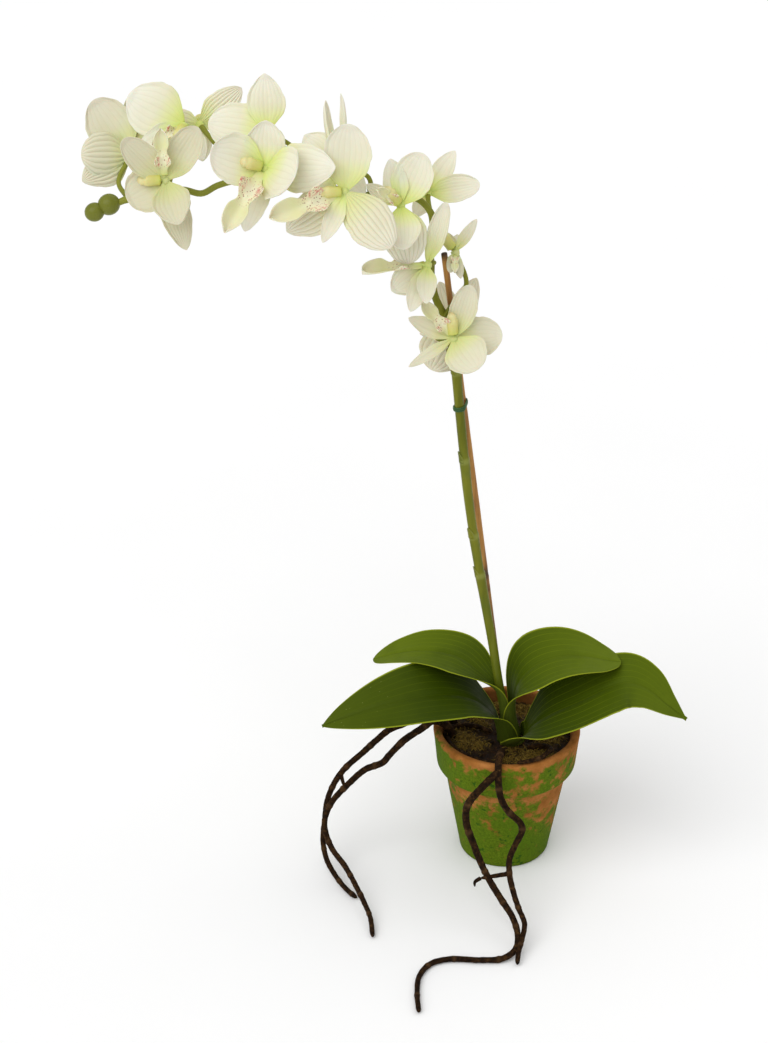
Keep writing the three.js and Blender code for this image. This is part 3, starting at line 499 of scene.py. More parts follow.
POT_PROFILE = [    # radius, height, and how far it is inside the pot
    (0, 0, 0), (20, 0, 0), (31, 0, 0), (32.4, 0.5, 0), (33.1, 1.6, 0), (33.5, 4, 0), (37.4, 27, 0),
    (41.4, 50, 0), (45.1, 71.5, 0), (45.5, 73.4, 0), (46.6, 74, 0), (48.6, 74.2, 0), (50, 75, 0),
    (50.9, 76.4, 0), (51.2, 78.5, 0), (52.1, 88, 0), (53.2, 98, 0), (53.8, 102.4, 0), (53.6, 104, 0),
    (52.6, 104.8, 0), (51.4, 105, 0.2), (50, 105, 0.3), (48.9, 104.6, 0.5), (48.2, 103.6, 0.7),
    (47.6, 101, 0.9), (45.6, 78, 1), (39.4, 71, 1), (28.5, 7, 1), (0, 7, 1),
]
POT_SIDES = 144
DRAIN_TURNS = (90, 210, 330)
DRAIN_OUT = 16
DRAIN_RADIUS = 4.0


def make_pot():
    turn = turns(POT_SIDES)
    rows = []
    for radius, height, _ in POT_PROFILE:
        wobble = 1 + 0.0035 * np.sin(2 * turn + height * 0.03) + 0.002 * np.sin(5 * turn + 1 + height * 0.08)
        rows.append(np.stack([radius * wobble * np.cos(turn), radius * wobble * np.sin(turn),
                              np.full(POT_SIDES, height, float)], -1))
    index = np.arange(len(rows) * POT_SIDES).reshape(-1, POT_SIDES)
    turned = np.roll(index, -1, 1)
    faces = np.stack([turned[:-1], turned[1:], index[1:], index[:-1]], -1).reshape(-1, 4)
    shape = Shape()
    shape.add(rows, faces, inside=np.repeat([inside for _, _, inside in POT_PROFILE], POT_SIDES))
    pot = shape.build("pot_fine", "clay", ["pot"])
    for k, degrees in enumerate(DRAIN_TURNS):
        at = radians(degrees)
        bore = Shape()
        x, y = DRAIN_OUT * cos(at), DRAIN_OUT * sin(at)
        tube(bore, [(x, y, z) for z in (-8, 3, 14)], DRAIN_RADIUS, 24)
        hole = bore.build(f"drain_{k}", "clay")
        cut = pot.modifiers.new(f"drain_{k}", "BOOLEAN")
        cut.operation = "DIFFERENCE"
        cut.object = hole
        bpy.context.view_layer.objects.active = pot
        bpy.ops.object.modifier_apply(modifier=cut.name)
        bpy.data.objects.remove(hole)


MOSS_AT = [    # x, y, spread
    (-30, -6, 11), (-34, -12, 8), (-20, 14, 9), (-21, -13, 8), (16, -25, 10), (28, -27, 8), (3, -21, 6),
    (-2, -32, 7), (28, -9, 8), (36, -2, 7), (-22, 26, 9), (14, 34, 12), (-8, 36, 10), (34, 16, 8),
    (-38, 10, 7), (10, -38, 6),
]
MIX_LEVEL = 97
CROWN_X, CROWN_Y = 2.0, -9.0
MIX_REACH = 46.4
MIX_RINGS, MIX_SIDES = 54, 168
MIX_FOOT = 7.4
MIX_BELOW = [(45.0, 77), (37.8, 69), (27.4, MIX_FOOT)]    # radius, height
CRUMBS = 150


def mix_height(x, y):
    at = Vector((x, y, 0))
    lumps = 1.4 * noise.fractal(at * 0.16, 0.8, 2.1, 5)
    lumps = lumps + 1.1 * abs(noise.noise(at * 0.42 + Vector((9, 0, 0))))
    return MIX_LEVEL - 0.6 + lumps - 1.6 * float(smoothstep(hypot(x, y), 38, 46))


def moss_share(x, y):
    near = max(exp(-((x - mx) ** 2 + (y - my) ** 2) / (s * s) * 1.6) for mx, my, s in MOSS_AT)
    return near * float(np.clip(0.7 + 1.2 * noise.noise(Vector((x, y, 3)) * 0.5), 0, 1))


def make_mix():
    points, moss = [(0, 0, mix_height(0, 0))], [moss_share(0, 0)]
    rings = [(MIX_REACH * ring / MIX_RINGS, None) for ring in range(1, MIX_RINGS + 1)]
    for radius, height in rings + MIX_BELOW:
        for side in range(MIX_SIDES):
            turn = 2 * pi * side / MIX_SIDES
            x, y = radius * cos(turn), radius * sin(turn)
            points.append((x, y, mix_height(x, y) if height is None else height))
            moss.append(moss_share(x, y) if height is None else 0)
    points.append((0, 0, MIX_FOOT))
    moss.append(0)
    index = np.arange(1, len(points) - 1).reshape(-1, MIX_SIDES)
    turned = np.roll(index, -1, 1)
    body = np.stack([index[:-1], index[1:], turned[1:], turned[:-1]], -1).reshape(-1, 4)
    ends = [fan(index[0], turned[0], 0), fan(turned[-1], index[-1], len(points) - 1)]
    shape = Shape()
    shape.add(points, np.concatenate([body, *ends]), moss=moss)
    shape.build("potting_mix_fine", "mix", ["potting_mix"])


def make_moss():
    """Dry moss fibres in tufts, and crumbs of bark among them."""
    dice = np.random.default_rng(11)
    strands = Shape()
    for mx, my, spread in MOSS_AT:
        for _ in range(int(spread * 9)):
            x, y = dice.normal((mx, my), spread * 0.42)
            if hypot(x, y) > 45 or hypot(x - CROWN_X, y - CROWN_Y) < 9:
                continue
            route = [(x, y, mix_height(x, y) - 0.3)]
            heading = dice.uniform(0, 2 * pi)
            length = dice.uniform(3, 7.5)
            bow = dice.uniform(0.4, 2.2)
            for step in (0.35, 0.7, 1.0):
                heading += dice.uniform(-0.9, 0.9)
                x += cos(heading) * length * 0.33
                y += sin(heading) * length * 0.33
                if hypot(x, y) > 46:
                    break
                route.append((x, y, mix_height(x, y) + bow * sin(pi * step)))
            if len(route) > 2:
                path = spline(route, 1.0)
                tube(strands, path, np.linspace(0.34, 0.16, len(path)), 5, moss=dice.uniform(0.6, 1.0))
    for _ in range(CRUMBS):
        x, y = dice.uniform(-44, 44, 2)
        if hypot(x, y) > 43 or hypot(x - CROWN_X, y - CROWN_Y) < 10:
            continue
        size = dice.uniform(1.0, 2.6)
        turned_to = np.array(Matrix.Rotation(dice.uniform(0, pi), 3, "Z"))
        ends = np.array([[-1, 0, 0], [-0.3, 0.1, 0.2], [0.4, -0.1, 0.1], [1, 0, 0]]) * size
        path = spline(ends @ turned_to.T + (x, y, mix_height(x, y) + size * 0.2), size * 0.3)
        t = np.linspace(0, 1, len(path))
        radius = size * 0.42 * np.sqrt(np.clip(np.sin(pi * (0.08 + 0.84 * t)), 0, 1))
        tube(strands, path, radius[:, None] * dice.uniform(0.75, 1.1, (1, 6)), 6, moss=dice.uniform(0, 0.2))
    strands.build("mix_moss", "mix")


# ---- crown and leaves

CROWN_FOOT, CROWN_HEIGHT, CROWN_RADIUS = 82, 17, 7.0
LEAF_START = np.array([CROWN_X, CROWN_Y, 99.5])
LEAF_CLASP_FRONT = 115    # degrees that a sheath wraps round the crown
LEAF_CLASP_BACK = 60
LEAF_CHANNEL = 16    # degrees, where the blade has opened
LEAF_THICK = 0.55
LEAF_ROWS, LEAF_COLUMNS = 90, 44

Leaf = namedtuple("Leaf", "name shade azimuth sheath width roll roll_from clasp open taper midrib")
LEAVES = [
    Leaf(name="leaf_upper_left", shade=0.0, azimuth=167, sheath=5.6, width=46, roll=-8, roll_from=(0.2, 0.5),
         clasp=0.2, open=0.55, taper=(1.5, 0.5),
         midrib=[(-5, -8, 122), (-8, -7, 141), (-18, -3, 151), (-36, 6, 161), (-59, 14, 161.5),
                 (-79, 20, 155.5), (-98, 24, 147)]),
    Leaf(name="leaf_upper_right", shade=0.0, azimuth=7, sheath=7.2, width=57, roll=12, roll_from=(0.2, 0.5),
         clasp=0.14, open=0.55, taper=(1.15, 0.5),
         midrib=[(5, -9, 122), (6, -9, 145), (13, -8.5, 158), (24, -7.5, 166), (38, -6, 169.5), (54, -5, 169),
                 (70, -4, 165), (81, -4, 163)]),
    Leaf(name="leaf_lower_left", shade=0.5, azimuth=194, sheath=8.8, width=57, roll=-18, roll_from=(0.1, 0.5),
         clasp=0.03, open=0.28, taper=(0.6, 0.8),
         midrib=[(-10, -11, 120), (-21, -13, 134), (-36, -15, 141.5), (-58, -21, 145.5), (-87, -27, 142),
                 (-118, -32, 134), (-134.5, -34, 127.5)]),
    Leaf(name="leaf_lower_right", shade=0.1, azimuth=343, sheath=10.4, width=58, roll=24, roll_from=(0, 0.3),
         clasp=0.02, open=0.24, taper=(0.42, 1.0),
         midrib=[(12, -17, 108), (20, -20, 121), (32, -22, 131.5), (50, -22, 141), (73, -18, 151),
                 (86, -17, 154), (99, -19, 150.5), (114, -23, 139), (128, -25, 127)]),
]


def make_crown():
    shape = Shape()
    t = np.linspace(0, 1, 20)
    path = np.stack([CROWN_X + 0 * t, CROWN_Y + 0 * t, CROWN_FOOT + CROWN_HEIGHT * t], -1)
    ridges = 1 + 0.04 * np.sin(7 * turns(28))[None, :]
    radius = (CROWN_RADIUS + 0.7 * t - 0.5 * hump(t, 0.6, 0.1))[:, None] * ridges
    tube(shape, path, radius, 28, joint=0, dark=0.5)
    shape.build("crown_fine", "stem", ["crown"])


def leaf_outline(u, taper):
    """Half the width at u, as a share of the greatest half width. taper shapes the base and the tip."""
    return max(0.05, max(sin(pi * u ** 0.92), 0.0) ** taper[0 if u < 0.5 else 1])


def make_leaf(leaf, seed):
    """A blade whose base wraps round the crown and opens into a shallow channel."""
    turn = radians(leaf.azimuth)
    foot = LEAF_START + np.array([cos(turn), sin(turn), 0]) * leaf.sheath
    midrib = spline([foot, foot + (0, 0, 4), *leaf.midrib], 0.5)
    share = np.linspace(0, 1, len(midrib))
    tangents = unit(np.gradient(midrib, axis=0))
    u = np.sin(np.linspace(0, pi / 2, LEAF_ROWS + 1)) ** 1.05
    v = np.sin(np.linspace(-1, 1, LEAF_COLUMNS + 1) * pi / 2 * 0.98) / sin(pi / 2 * 0.98)
    wrap = np.radians(np.where(v * -np.sign(cos(turn)) > 0, LEAF_CLASP_FRONT, LEAF_CLASP_BACK))
    points = []
    for ui in u:
        centre = np.array([np.interp(ui, share, midrib[:, k]) for k in range(3)])
        tangent = unit([np.interp(ui, share, tangents[:, k]) for k in range(3)])
        side = square(np.array([-sin(turn), cos(turn), 0]), tangent)
        angle = radians(leaf.roll) * float(smoothstep(ui, *leaf.roll_from))
        side = np.array(Matrix.Rotation(angle, 3, Vector(tangent)) @ Vector(side))
        opened = float(smoothstep(ui, leaf.clasp, leaf.open))
        half = (1 - opened) * leaf.sheath * wrap + opened * leaf.width / 2 * leaf_outline(ui, leaf.taper)
        arc = wrap + (radians(LEAF_CHANNEL) - wrap) * opened ** 0.6
        lift = half * (1 - np.cos(arc * v)) / arc - 0.9 * hump(v, 0, 0.07) * opened
        wave = opened * 0.8 * np.abs(v) ** 3 * sin(9 * ui + seed + 1.3)
        lift = lift + wave * (1 + 0.4 * np.sign(v))
        points.append(centre + side * (half * np.sin(arc * v) / arc)[:, None]
                      + np.cross(tangent, side) * lift[:, None])
    u, v = grid(u, v)
    thick = LEAF_THICK * (1 - 0.55 * np.abs(v) ** 3) * (1 - 0.4 * u ** 4)
    ribs = 0.12 * np.abs(np.sin(26 * v)) * np.clip(np.sin(pi * u), 0, 1) ** 0.5
    shape = Shape()
    sheet(shape, np.array(points), thick - 0.12 + ribs, -thick - 0.5 * hump(v, 0, 0.1) * (1 - u),
          along=u, across=v, shade=np.full(u.shape, leaf.shade))
    shape.build(leaf.name + "_fine", "leaf", [leaf.name])


# ---- blooms

SPRAY_AT = (-60, 0, 515)
SPRAY_LEAN = 59.9    # degrees
SPRAY = Matrix.Translation(SPRAY_AT) @ Matrix.Rotation(radians(SPRAY_LEAN), 4, "X")

# P is a broad petal, S a sepal or narrow petal. angle turns in the bloom's plane, lift towards its front.
S = namedtuple("Petal", "angle length width lift roll bend cup broad", defaults=(0, 0, 0, 0, False))
P = partial(S, broad=True)
# column is (angle, lift), lip is (length, angle, lift, roll), and the last field is painted shade: how far a
# bloom that lies in shadow is darkened.
Bloom = namedtuple("Bloom", "centre stalk_from stalk_by petals column lip tone", defaults=(0.0,))

BLOOMS = [
    Bloom((-199, 39, -25), (-198, 7, 0), (-206, 20, -14), [
        P(183, 35, 33, 38, roll=180, bend=25, cup=20), S(211, 38, 25, 25, roll=180, bend=15, cup=15),
        P(124, 45, 33, -12, bend=25, cup=15), S(86, 46, 20, -15, bend=15, cup=15),
        S(-30, 25, 14, -25, bend=15, cup=10)], column=(135, -40), lip=(26, 40, -30), tone=0.3),
    Bloom((-162.5, 58, -14), (-173, 10, 0), (-169, 38, -26), [
        P(153, 42, 38, 5, bend=-15, cup=-15), S(206, 33, 16, -5, bend=15, cup=10),
        S(267, 26, 12, -25, cup=10), S(128, 20, 10, -25, cup=10), S(300, 27, 16, -25, cup=10)],
        column=(250, 45), lip=(26, 215, 20)),
    Bloom((-172, 16, 25), (-174, 10, 0), (-166, 10, 10), [
        P(137, 39, 21, 15, bend=10, cup=20), P(57, 41, 23, 5, bend=10, cup=15),
        S(-71, 42, 28, 20, bend=30, cup=40), S(-73, 47, 20, -5, cup=10),
        P(207, 28, 30, -10, bend=10, cup=15)], column=(180, 10), lip=(34, 94, 25), tone=0.5),
    Bloom((-107, 23, 35), (-105, 21, 0), (-100, 16, 18), [
        P(166, 38, 35, 8, bend=20, cup=20), P(-26, 33, 38, 35, bend=20, cup=15),
        S(88, 31, 27, 5, bend=20, cup=15), S(252, 43, 19, -8, cup=15), S(-2, 48, 33, 18, bend=-5, cup=-15)],
        column=(168, 35), lip=(52, 240, 22)),
    Bloom((-107, 52, -8), (-89, 20, 0), (-90, 42, -14), [
        S(93, 39, 26, bend=-5, cup=-10), P(169, 41, 34, -5, bend=-15, cup=-15), S(-37, 14, 12, -10),
        S(-97, 28, 13, -20), P(226, 27, 16, -20)], column=(240, 60), lip=(20, 262, 15)),
    Bloom((-154, 61.5, -38), (-107, 21, 0), (-137, 41, -18), [
        S(43, 39, 21, -5, roll=180, bend=10, cup=5), S(-86, 25, 15, -10, roll=180, bend=10, cup=10),
        S(160, 28, 14, -20, roll=180), S(205, 29, 13, -20, roll=180), S(7, 28, 13, -25, roll=180)],
        column=(90, -60), lip=(26, 60, -50)),
    Bloom((-55, 7, 38), (-58, 12, 0), (-58, 11, 20), [
        P(87, 44, 32, 5, bend=15, cup=10), P(-51, 48, 31, 20, roll=180, bend=20, cup=15),
        S(247, 38, 13, 15, cup=10), S(212, 48, 30, -10, roll=180, bend=15, cup=15), S(63, 33, 10, -25)],
        column=(182, 20), lip=(52, 200, 14), tone=0.12),
    Bloom((-60, 27.5, 6), (-38, 8, 0), (-40.5, 22, -4), [
        P(203, 30, 33, 8, bend=-15, cup=-10), S(136, 32, 26, -10, bend=-10, cup=-10),
        S(116, 47, 16, -15, roll=75, bend=30, cup=40), S(72, 51, 13, -15, roll=-75, bend=32, cup=35),
        S(-45, 25, 16, -5)], column=(120, 50), lip=(20, 110, 20)),
    Bloom((-19, 1, 15), (-17, 7, 0), (-18, 4, 6), [
        S(103, 31, 17, 10, bend=-10, cup=20), P(67, 37, 27, 5, bend=10, cup=10),
        S(-87, 35, 25, 17, bend=18, cup=10), P(-82, 40, 30, -8, roll=180, bend=20, cup=15),
        S(147, 28, 11, -15, roll=180)], column=(135, 40), lip=(24, 150, 45)),
    Bloom((-1, 14, -25), (2, -5, -3), (0, 4, -15), [
        S(57, 34, 15, -5, cup=10), P(8, 36, 19, 5, bend=10, cup=15), S(-118, 18, 12, -10),
        S(118, 24, 14, -20), S(178, 26, 12, -20)], column=(120, 50), lip=(18, 150, 10)),
    Bloom((-1.5, -36.5, -2), (2, -34, -19), (3, -34, -10), [
        P(73, 44, 13, 10, bend=10, cup=15), S(250, 33, 15, 5, cup=15), S(268, 28, 14, 20, cup=25),
        S(77, 27, 8, -20), S(216, 29, 23, -5, cup=20)], column=(190, -45), lip=(43, 184, 2, 35), tone=0.15),
    Bloom((17.4, -25.4, -24), (11, -68, -36), (25, -47, -30), [
        S(56, 26, 8, 5), S(-78, 19, 7, 10), S(119, 16, 9, -15), S(256, 18, 8, 30), S(82, 15, 8, -35)],
        column=(128, 10), lip=(18, 268, 40), tone=0.2),
    Bloom((16.5, -83, -22), (14, -90, -50), (19, -88, -36), [
        P(72, 38, 19, 8, bend=15, cup=25), S(157, 33.5, 13, 10, cup=10), P(-54, 29, 30, 20, cup=10),
        P(4, 33, 27, -10, cup=10), S(213, 36, 8, 5)], column=(97, 30), lip=(33, 133, 22), tone=0.35),
    Bloom((18, -73, -66), (13, -84, -48), (6, -80, -58), [
        P(241, 33, 32, 5, roll=180, bend=10, cup=10), S(66, 37, 17, 5, roll=180), S(108, 33, 16, roll=180),
        S(-27, 25, 13, roll=180), S(190, 24, 10, roll=180)], column=(90, -70), lip=(26, 270, -50), tone=0.25),
]

BROAD_FROM = 19    # mm, the width from which a narrow petal gets the ribs of a broad one
PETAL_THICK = 0.36    # half of it
LIP_THICK = 0.42    # half of it
LIP_START = 3.5
COLUMN_START, COLUMN_REACH, COLUMN_RADIUS = 3.4, 18.0, 4.1
HUB_RADIUS, HUB_LENGTH, HUB_START = 3.0, 4.4, -0.6


def aim(angle, lift=0.0, roll=0.0):
    """The turn that points a part along +x, facing +z, to its place in the spray frame."""
    turn, rise = radians(angle), radians(lift)
    along = Vector((cos(rise) * cos(turn), cos(rise) * sin(turn), sin(rise)))
    front = (Vector((0, 0, 1)) - along * along.z).normalized()
    front.rotate(Matrix.Rotation(radians(roll), 3, along))
    return np.array([along, front.cross(along), front])


def petal_outline(u, broad):
    claw = 0.6 + 0.4 * smoothstep(u, 0, 0.3 if broad else 0.4)
    swell = np.clip(np.sin(pi * u ** (1.08 if broad else 0.92)), 0, 1) ** (0.5 if broad else 0.66)
    return np.maximum(swell * claw, 0.05)


def add_petal(shape, petal, seed):
    """One petal or sepal: a cupped blade with pleats that stand out on its back."""
    broad = petal.broad or petal.width > BROAD_FROM
    rows, columns = (30, 54) if broad else (24, 28)
    u, v = grid(np.sin(np.linspace(0, pi / 2, rows + 1)), np.linspace(-1, 1, columns + 1))
    turn = radians(petal.bend) or 1e-3
    curl = radians(petal.cup) or 1e-3
    edge = np.sign(v)
    crinkle = 0.02 * np.sin(11 * u + seed * 1.7 + 2 * edge) + 0.014 * np.sin(24 * u + seed * 3.1 + edge)
    half = petal.width / 2 * petal_outline(u, petal.broad)
    half = half * (1 + crinkle + 0.01 * np.sin(43 * u + seed * 0.9 + 2.2 * edge))
    body = np.clip(np.sin(pi * np.clip(u, 0.02, 1)), 0, 1) ** 0.5
    wave = 0.5 * np.sin(7 * u + seed * 2.3 + 1.5 * edge) + 0.22 * np.sin(19 * u + seed * 1.3 + edge)
    out = half * (1 - np.cos(curl * v)) / curl + body * np.abs(v) ** 3 * wave
    out = out - 0.9 * (1 - u) * hump(v, 0, 0.3) * smoothstep(u, 0.03, 0.12)
    rim = 1.1 if broad else 0.5
    out = out + rim * smoothstep(np.maximum(np.abs(v), u ** 1.5), 0.82, 1.0) * smoothstep(u, 0.2, 0.6)
    here = turn * u
    points = np.stack([
        petal.length * np.sin(here) / turn - out * np.sin(here),
        half * np.sin(curl * v) / curl,
        petal.length * (1 - np.cos(here)) / turn + out * np.cos(here)], -1)
    phase = (13.5 if broad else 7.2) * v
    ridges = np.abs(np.cos(phase)) ** 0.8 * body * (1 - smoothstep(np.abs(v), 0.9, 1.0))
    deep = 1.0 if broad else 0.45
    thick = PETAL_THICK * (1 - 0.4 * np.abs(v) ** 2)
    sheet(shape, points @ aim(petal.angle, petal.lift, petal.roll), thick + 0.22 * deep * ridges,
          -thick - deep * ridges + 0.3 * deep, along=u, phase=phase)


def add_column(shape, *place):
    t = np.linspace(0, 1, 26)
    run = (1 - t) ** 2 * COLUMN_START + 2 * t * (1 - t) * COLUMN_REACH * 0.6 + t ** 2 * COLUMN_REACH
    path = np.stack([run, 0 * t, -2 * t ** 2], -1)
    radius = COLUMN_RADIUS * np.sqrt(np.clip(1 - t ** 4, 0.02, 1)) * (1 - 0.1 * t)
    radius = radius * (0.8 + 0.22 * smoothstep(t, 0.2, 0.6)) * (1 - 0.12 * hump(t, 0.72, 0.05))
    sides = 20
    flat = 1 + 0.08 * np.cos(2 * turns(sides))
    tube(shape, path @ aim(*place), radius[:, None] * flat[None, :], sides, along=t)


def add_lip(shape, length, *place):
    """One blade: a narrow claw, two upright side lobes with red marks, and a boat-shaped middle lobe."""
    u, v = grid(np.linspace(0, 1, 45), np.linspace(-1, 1, 31))
    lobe = hump(u, 0.34, 0.12)
    middle = 0.06 + 0.08 * smoothstep(u, 0.45, 0.72)
    end = np.sqrt(np.clip(1 - np.clip((u - 0.7) / 0.305, 0, 1) ** 2.4, 0.01, 1))
    half = length * (middle + 0.16 * lobe) * end
    stand = length * 0.22 * lobe * np.abs(v) ** 1.6
    boat = length * (0.13 * v * v * smoothstep(u, 0.42, 0.7) - 0.1 * u * u)
    keel = 0.03 * length * hump(v, 0, 0.25) * hump(u, 0.42, 0.07)
    points = np.stack([LIP_START + (length - LIP_START) * u, half * v * (1 - 0.3 * lobe * np.abs(v)),
                       stand + boat + keel], -1)
    thick = LIP_THICK * (1 - 0.35 * np.abs(v) ** 3)
    sheet(shape, points @ aim(*place), thick, -thick, along=u, red=lobe * smoothstep(np.abs(v), 0.3, 0.6),
          dots=smoothstep(u, 0.12, 0.25) * (1 - smoothstep(u, 0.46, 0.62)))


def make_bloom(bloom, number):
    place = SPRAY @ Matrix.Translation(bloom.centre)
    petals, lip, column = Shape(), Shape(), Shape()
    for k, petal in enumerate(bloom.petals):
        add_petal(petals, petal, number * 5 + k)
    t = np.linspace(0, 1, 9)
    back = unit(np.array(bloom.stalk_by, float) - bloom.centre)
    tube(petals, back[None, :] * (HUB_LENGTH * t)[:, None] + back * HUB_START,
         HUB_RADIUS * np.sqrt(1 - 0.75 * t ** 2), 14, along=0.02, under=0.5)
    # the bloom's amount of painted shade, the same for every point of its petals
    petals.values["tone"] = [np.full(petals.count, bloom.tone)]
    add_lip(lip, *bloom.lip)
    add_column(column, *bloom.column)
    for shape, part in ((petals, "petals"), (lip, "lip"), (column, "column")):
        node = f"bloom_{number:02d}_{part}"
        shape.build(node + "_fine", part.removesuffix("s"), [node], place)


# ---- spike, stake and tie

def from_spray(point):
    return np.array(SPRAY @ Vector(point))


STEM = [(2, -9, 91), (1.5, -9, 106), (-6, -8, 141), (-12, -7, 179), (-24, -5, 249), (-31, -4, 297),
        (-36, -3, 344), (-38.5, -2.4, 369), (-43, -1, 412), (-49.5, 0, 436)]
ARCH = [(3.5, -53, -28), (1, -34, -19), (1, -17, -9), (2, -5, -3), (-4, 4, 0), (-13, 9, 0), (-26, 10, 0),
        (-39, 9, 0), (-56, 12, 0), (-72, 16, 0), (-89, 20, 0), (-105, 21, 0), (-118, 20, 0), (-130, 18.5, 0),
        (-140, 15.5, 0), (-150, 10.5, 0), (-163, 13, 0), (-174, 10, 0), (-184, 8, 0), (-198, 7, 0),
        (-207, 3.5, 0)]
STEM_RADIUS = 3.2
ARCH_RADIUS = 2.15
STALK_RADIUS = 1.6
SHEATHS_AT = [238, 271, 329, 398]    # heights of the sheath joints on the stem
SHEATH_RISE, SHEATH_LENGTH = 0.55, 60
FORK_RISE, FORK_REACH = 0.5, 4
BUDS = [((-211, 3.4, 0), 7.2), ((-220.5, -1.6, 0), 6.4)]    # centre in the spray frame, radius
BUD_SIDES = 24


def scale_leaf(shape, at, along, outward, length, width, radius):
    """A small pointed bract that hugs the stem and stands off a little at its tip."""
    u, v = grid(np.linspace(0, 1, 13), np.linspace(-1, 1, 9))
    side = unit(np.cross(along, outward))
    turn = width / 2 * np.clip(1 - u ** 2.2, 0.03, 1) * v / (radius + 0.3)
    off = radius + 0.35 + 0.3 * u ** 3
    points = (np.array(at) + along * (u * length)[..., None] + outward * (off * np.cos(turn))[..., None]
              + side * (off * np.sin(turn))[..., None])
    thick = np.full(u.shape, 0.3)
    sheet(shape, points, thick, -thick, joint=0.5 * smoothstep(np.abs(v), 0.7, 1), dark=0 * u)


def make_spike():
    shape = Shape()
    path = spline([*STEM, *[from_spray(p) for p in ARCH]], 2.0)
    run = lengths(path)
    radius = STEM_RADIUS + (ARCH_RADIUS - STEM_RADIUS) * smoothstep(run / run[-1], 0.42, 0.66)
    joint = np.zeros(len(path))
    stem_top = np.argmax(path[:, 2] > 470)
    sheaths = [int(np.argmin(np.abs(path[:stem_top, 2] - level))) for level in SHEATHS_AT]
    for k in sheaths:
        step = run - run[k]
        rise = SHEATH_RISE * np.exp(np.minimum(step, 0) / 16)
        radius = radius + rise * (step <= 0.5) * (step > -SHEATH_LENGTH)
        joint = joint + hump(step, -1.0, 1.6)
    for bloom in BLOOMS:
        fork = run[np.argmin(np.linalg.norm(path - from_spray(bloom.stalk_from), axis=1))]
        radius = radius + FORK_RISE * hump(run, fork, FORK_REACH)
    radius = radius * (1 + 0.03 * roughness(path, 0.05, 3))
    sides = 18
    rim = 1 + 0.035 * np.sin(3 * turns(sides))[None, :] + 0.02 * np.sin(5 * turns(sides) + 1)[None, :]
    tube(shape, path, radius[:, None] * rim, sides, joint=np.clip(joint, 0, 1) * 0.6, dark=0)
    for k, forward in zip(sheaths, (-0.35, -0.8, -0.35, -0.35)):
        along = unit(path[k + 1] - path[k - 1])
        outward = square(np.array([-1.0, forward, 0]), along)
        scale_leaf(shape, path[k] - along * 2, along, outward, 9, 8, STEM_RADIUS)
    for bloom in BLOOMS:
        route = spline([from_spray(p) for p in (bloom.stalk_from, bloom.stalk_by, bloom.centre)], 1.6)
        t = np.linspace(0, 1, len(route))
        keep = np.linalg.norm(route - from_spray(bloom.centre), axis=1) > 3.2
        route, t = route[keep], t[keep]
        width = STALK_RADIUS * (1 + 0.25 * (1 - t) ** 6 + 0.3 * smoothstep(t, 0.75, 1.0))
        tube(shape, route, width, 12, joint=0, dark=0.25 * smoothstep(t, 0.5, 0.0))
        along = unit(route[1] - route[0])
        outward = unit(np.cross(along, (0.2, 1, 0.1)))
        scale_leaf(shape, route[0] + along * 0.6, along, outward, 8, 4.6, STALK_RADIUS + 0.1)
    axis = unit(from_spray((-1, -0.4, 0)) - from_spray((0, 0, 0)))
    seams = 1 - 0.035 * hump((turns(BUD_SIDES) * 3 / (2 * pi)) % 1, 0.5, 0.09)
    for centre, size in BUDS:
        turn = np.linspace(-pi / 2 + 0.08, pi / 2 - 0.08, 22)
        path = from_spray(centre) + axis * (size * np.sin(turn) * 1.04)[:, None]
        radius = (size * np.cos(turn))[:, None] * seams[None, :]
        tube(shape, path, radius, BUD_SIDES, joint=0.12, dark=0.4, gloss=1)
    shape.build("flower_spike_fine", "stem", ["flower_spike"])


STAKE_TOP = np.array([-50.0, 3, 482])
STAKE_FOOT = np.array([2.0, 17, 76])
STAKE_RADIUS = 2.1
KNOTS_AT = (229, 216)


def make_stake():
    shape = Shape()
    path = STAKE_TOP + (STAKE_FOOT - STAKE_TOP) * np.linspace(0, 1, 150)[:, None]
    height = path[:, 2]
    sides = 14
    radius = STAKE_RADIUS * (1 + 0.05 * roughness(path, 0.06, 8))[:, None]
    radius = radius * (1 + 0.05 * np.sin(2 * turns(sides) + 0.4))[None, :]
    knot = hump(height, KNOTS_AT[0], 5) + 0.5 * hump(height, KNOTS_AT[1], 3)
    radius = radius + 0.35 * knot[:, None] * np.clip(roughness(path, 0.9, 5), -0.4, 1)[:, None]
    dark = np.clip(knot + smoothstep(height, 240, 180) * 0.55 + smoothstep(height, 476, 482), 0, 1)
    tube(shape, path, radius, sides, dark=dark)
    shape.build("stake_fine", "wood", ["stake"])


TIE_AT = 7    # the point of STEM that the tie is on
TIE_LOOPS = [(-1.0, 0.65), (0.2, 0.8), (1.3, 0.6)]    # height, slack
TIE_RADIUS = 0.5


def make_tie():
    shape = Shape()
    stem = np.array(STEM[TIE_AT], float)
    share = (STAKE_TOP[2] - stem[2]) / (STAKE_TOP[2] - STAKE_FOOT[2])
    apart = STAKE_TOP + (STAKE_FOOT - STAKE_TOP) * share - stem
    reach = float(np.linalg.norm(apart))
    x_axis = unit(apart)
    lean = square(unit(np.array(STEM[TIE_AT + 1], float) - STEM[TIE_AT - 1]), x_axis)
    y_axis = np.cross(lean, x_axis)
    for level, slack in TIE_LOOPS:
        near, far = STEM_RADIUS + slack, STAKE_RADIUS + slack
        loop = [(-near * sin(a), near * cos(a)) for a in np.linspace(0, pi, 18)]
        loop += [(reach + far * sin(a), -far * cos(a)) for a in np.linspace(0, pi, 14)]
        loop = [stem + x_axis * x + y_axis * y + lean * (level + 0.25 * sin(3 * i))
                for i, (x, y) in enumerate(loop)]
        tube(shape, spline([*loop, loop[0]], 0.8), TIE_RADIUS, 8)
    shape.build("tie_fine", "tie", ["tie"])


# ---- aerial roots

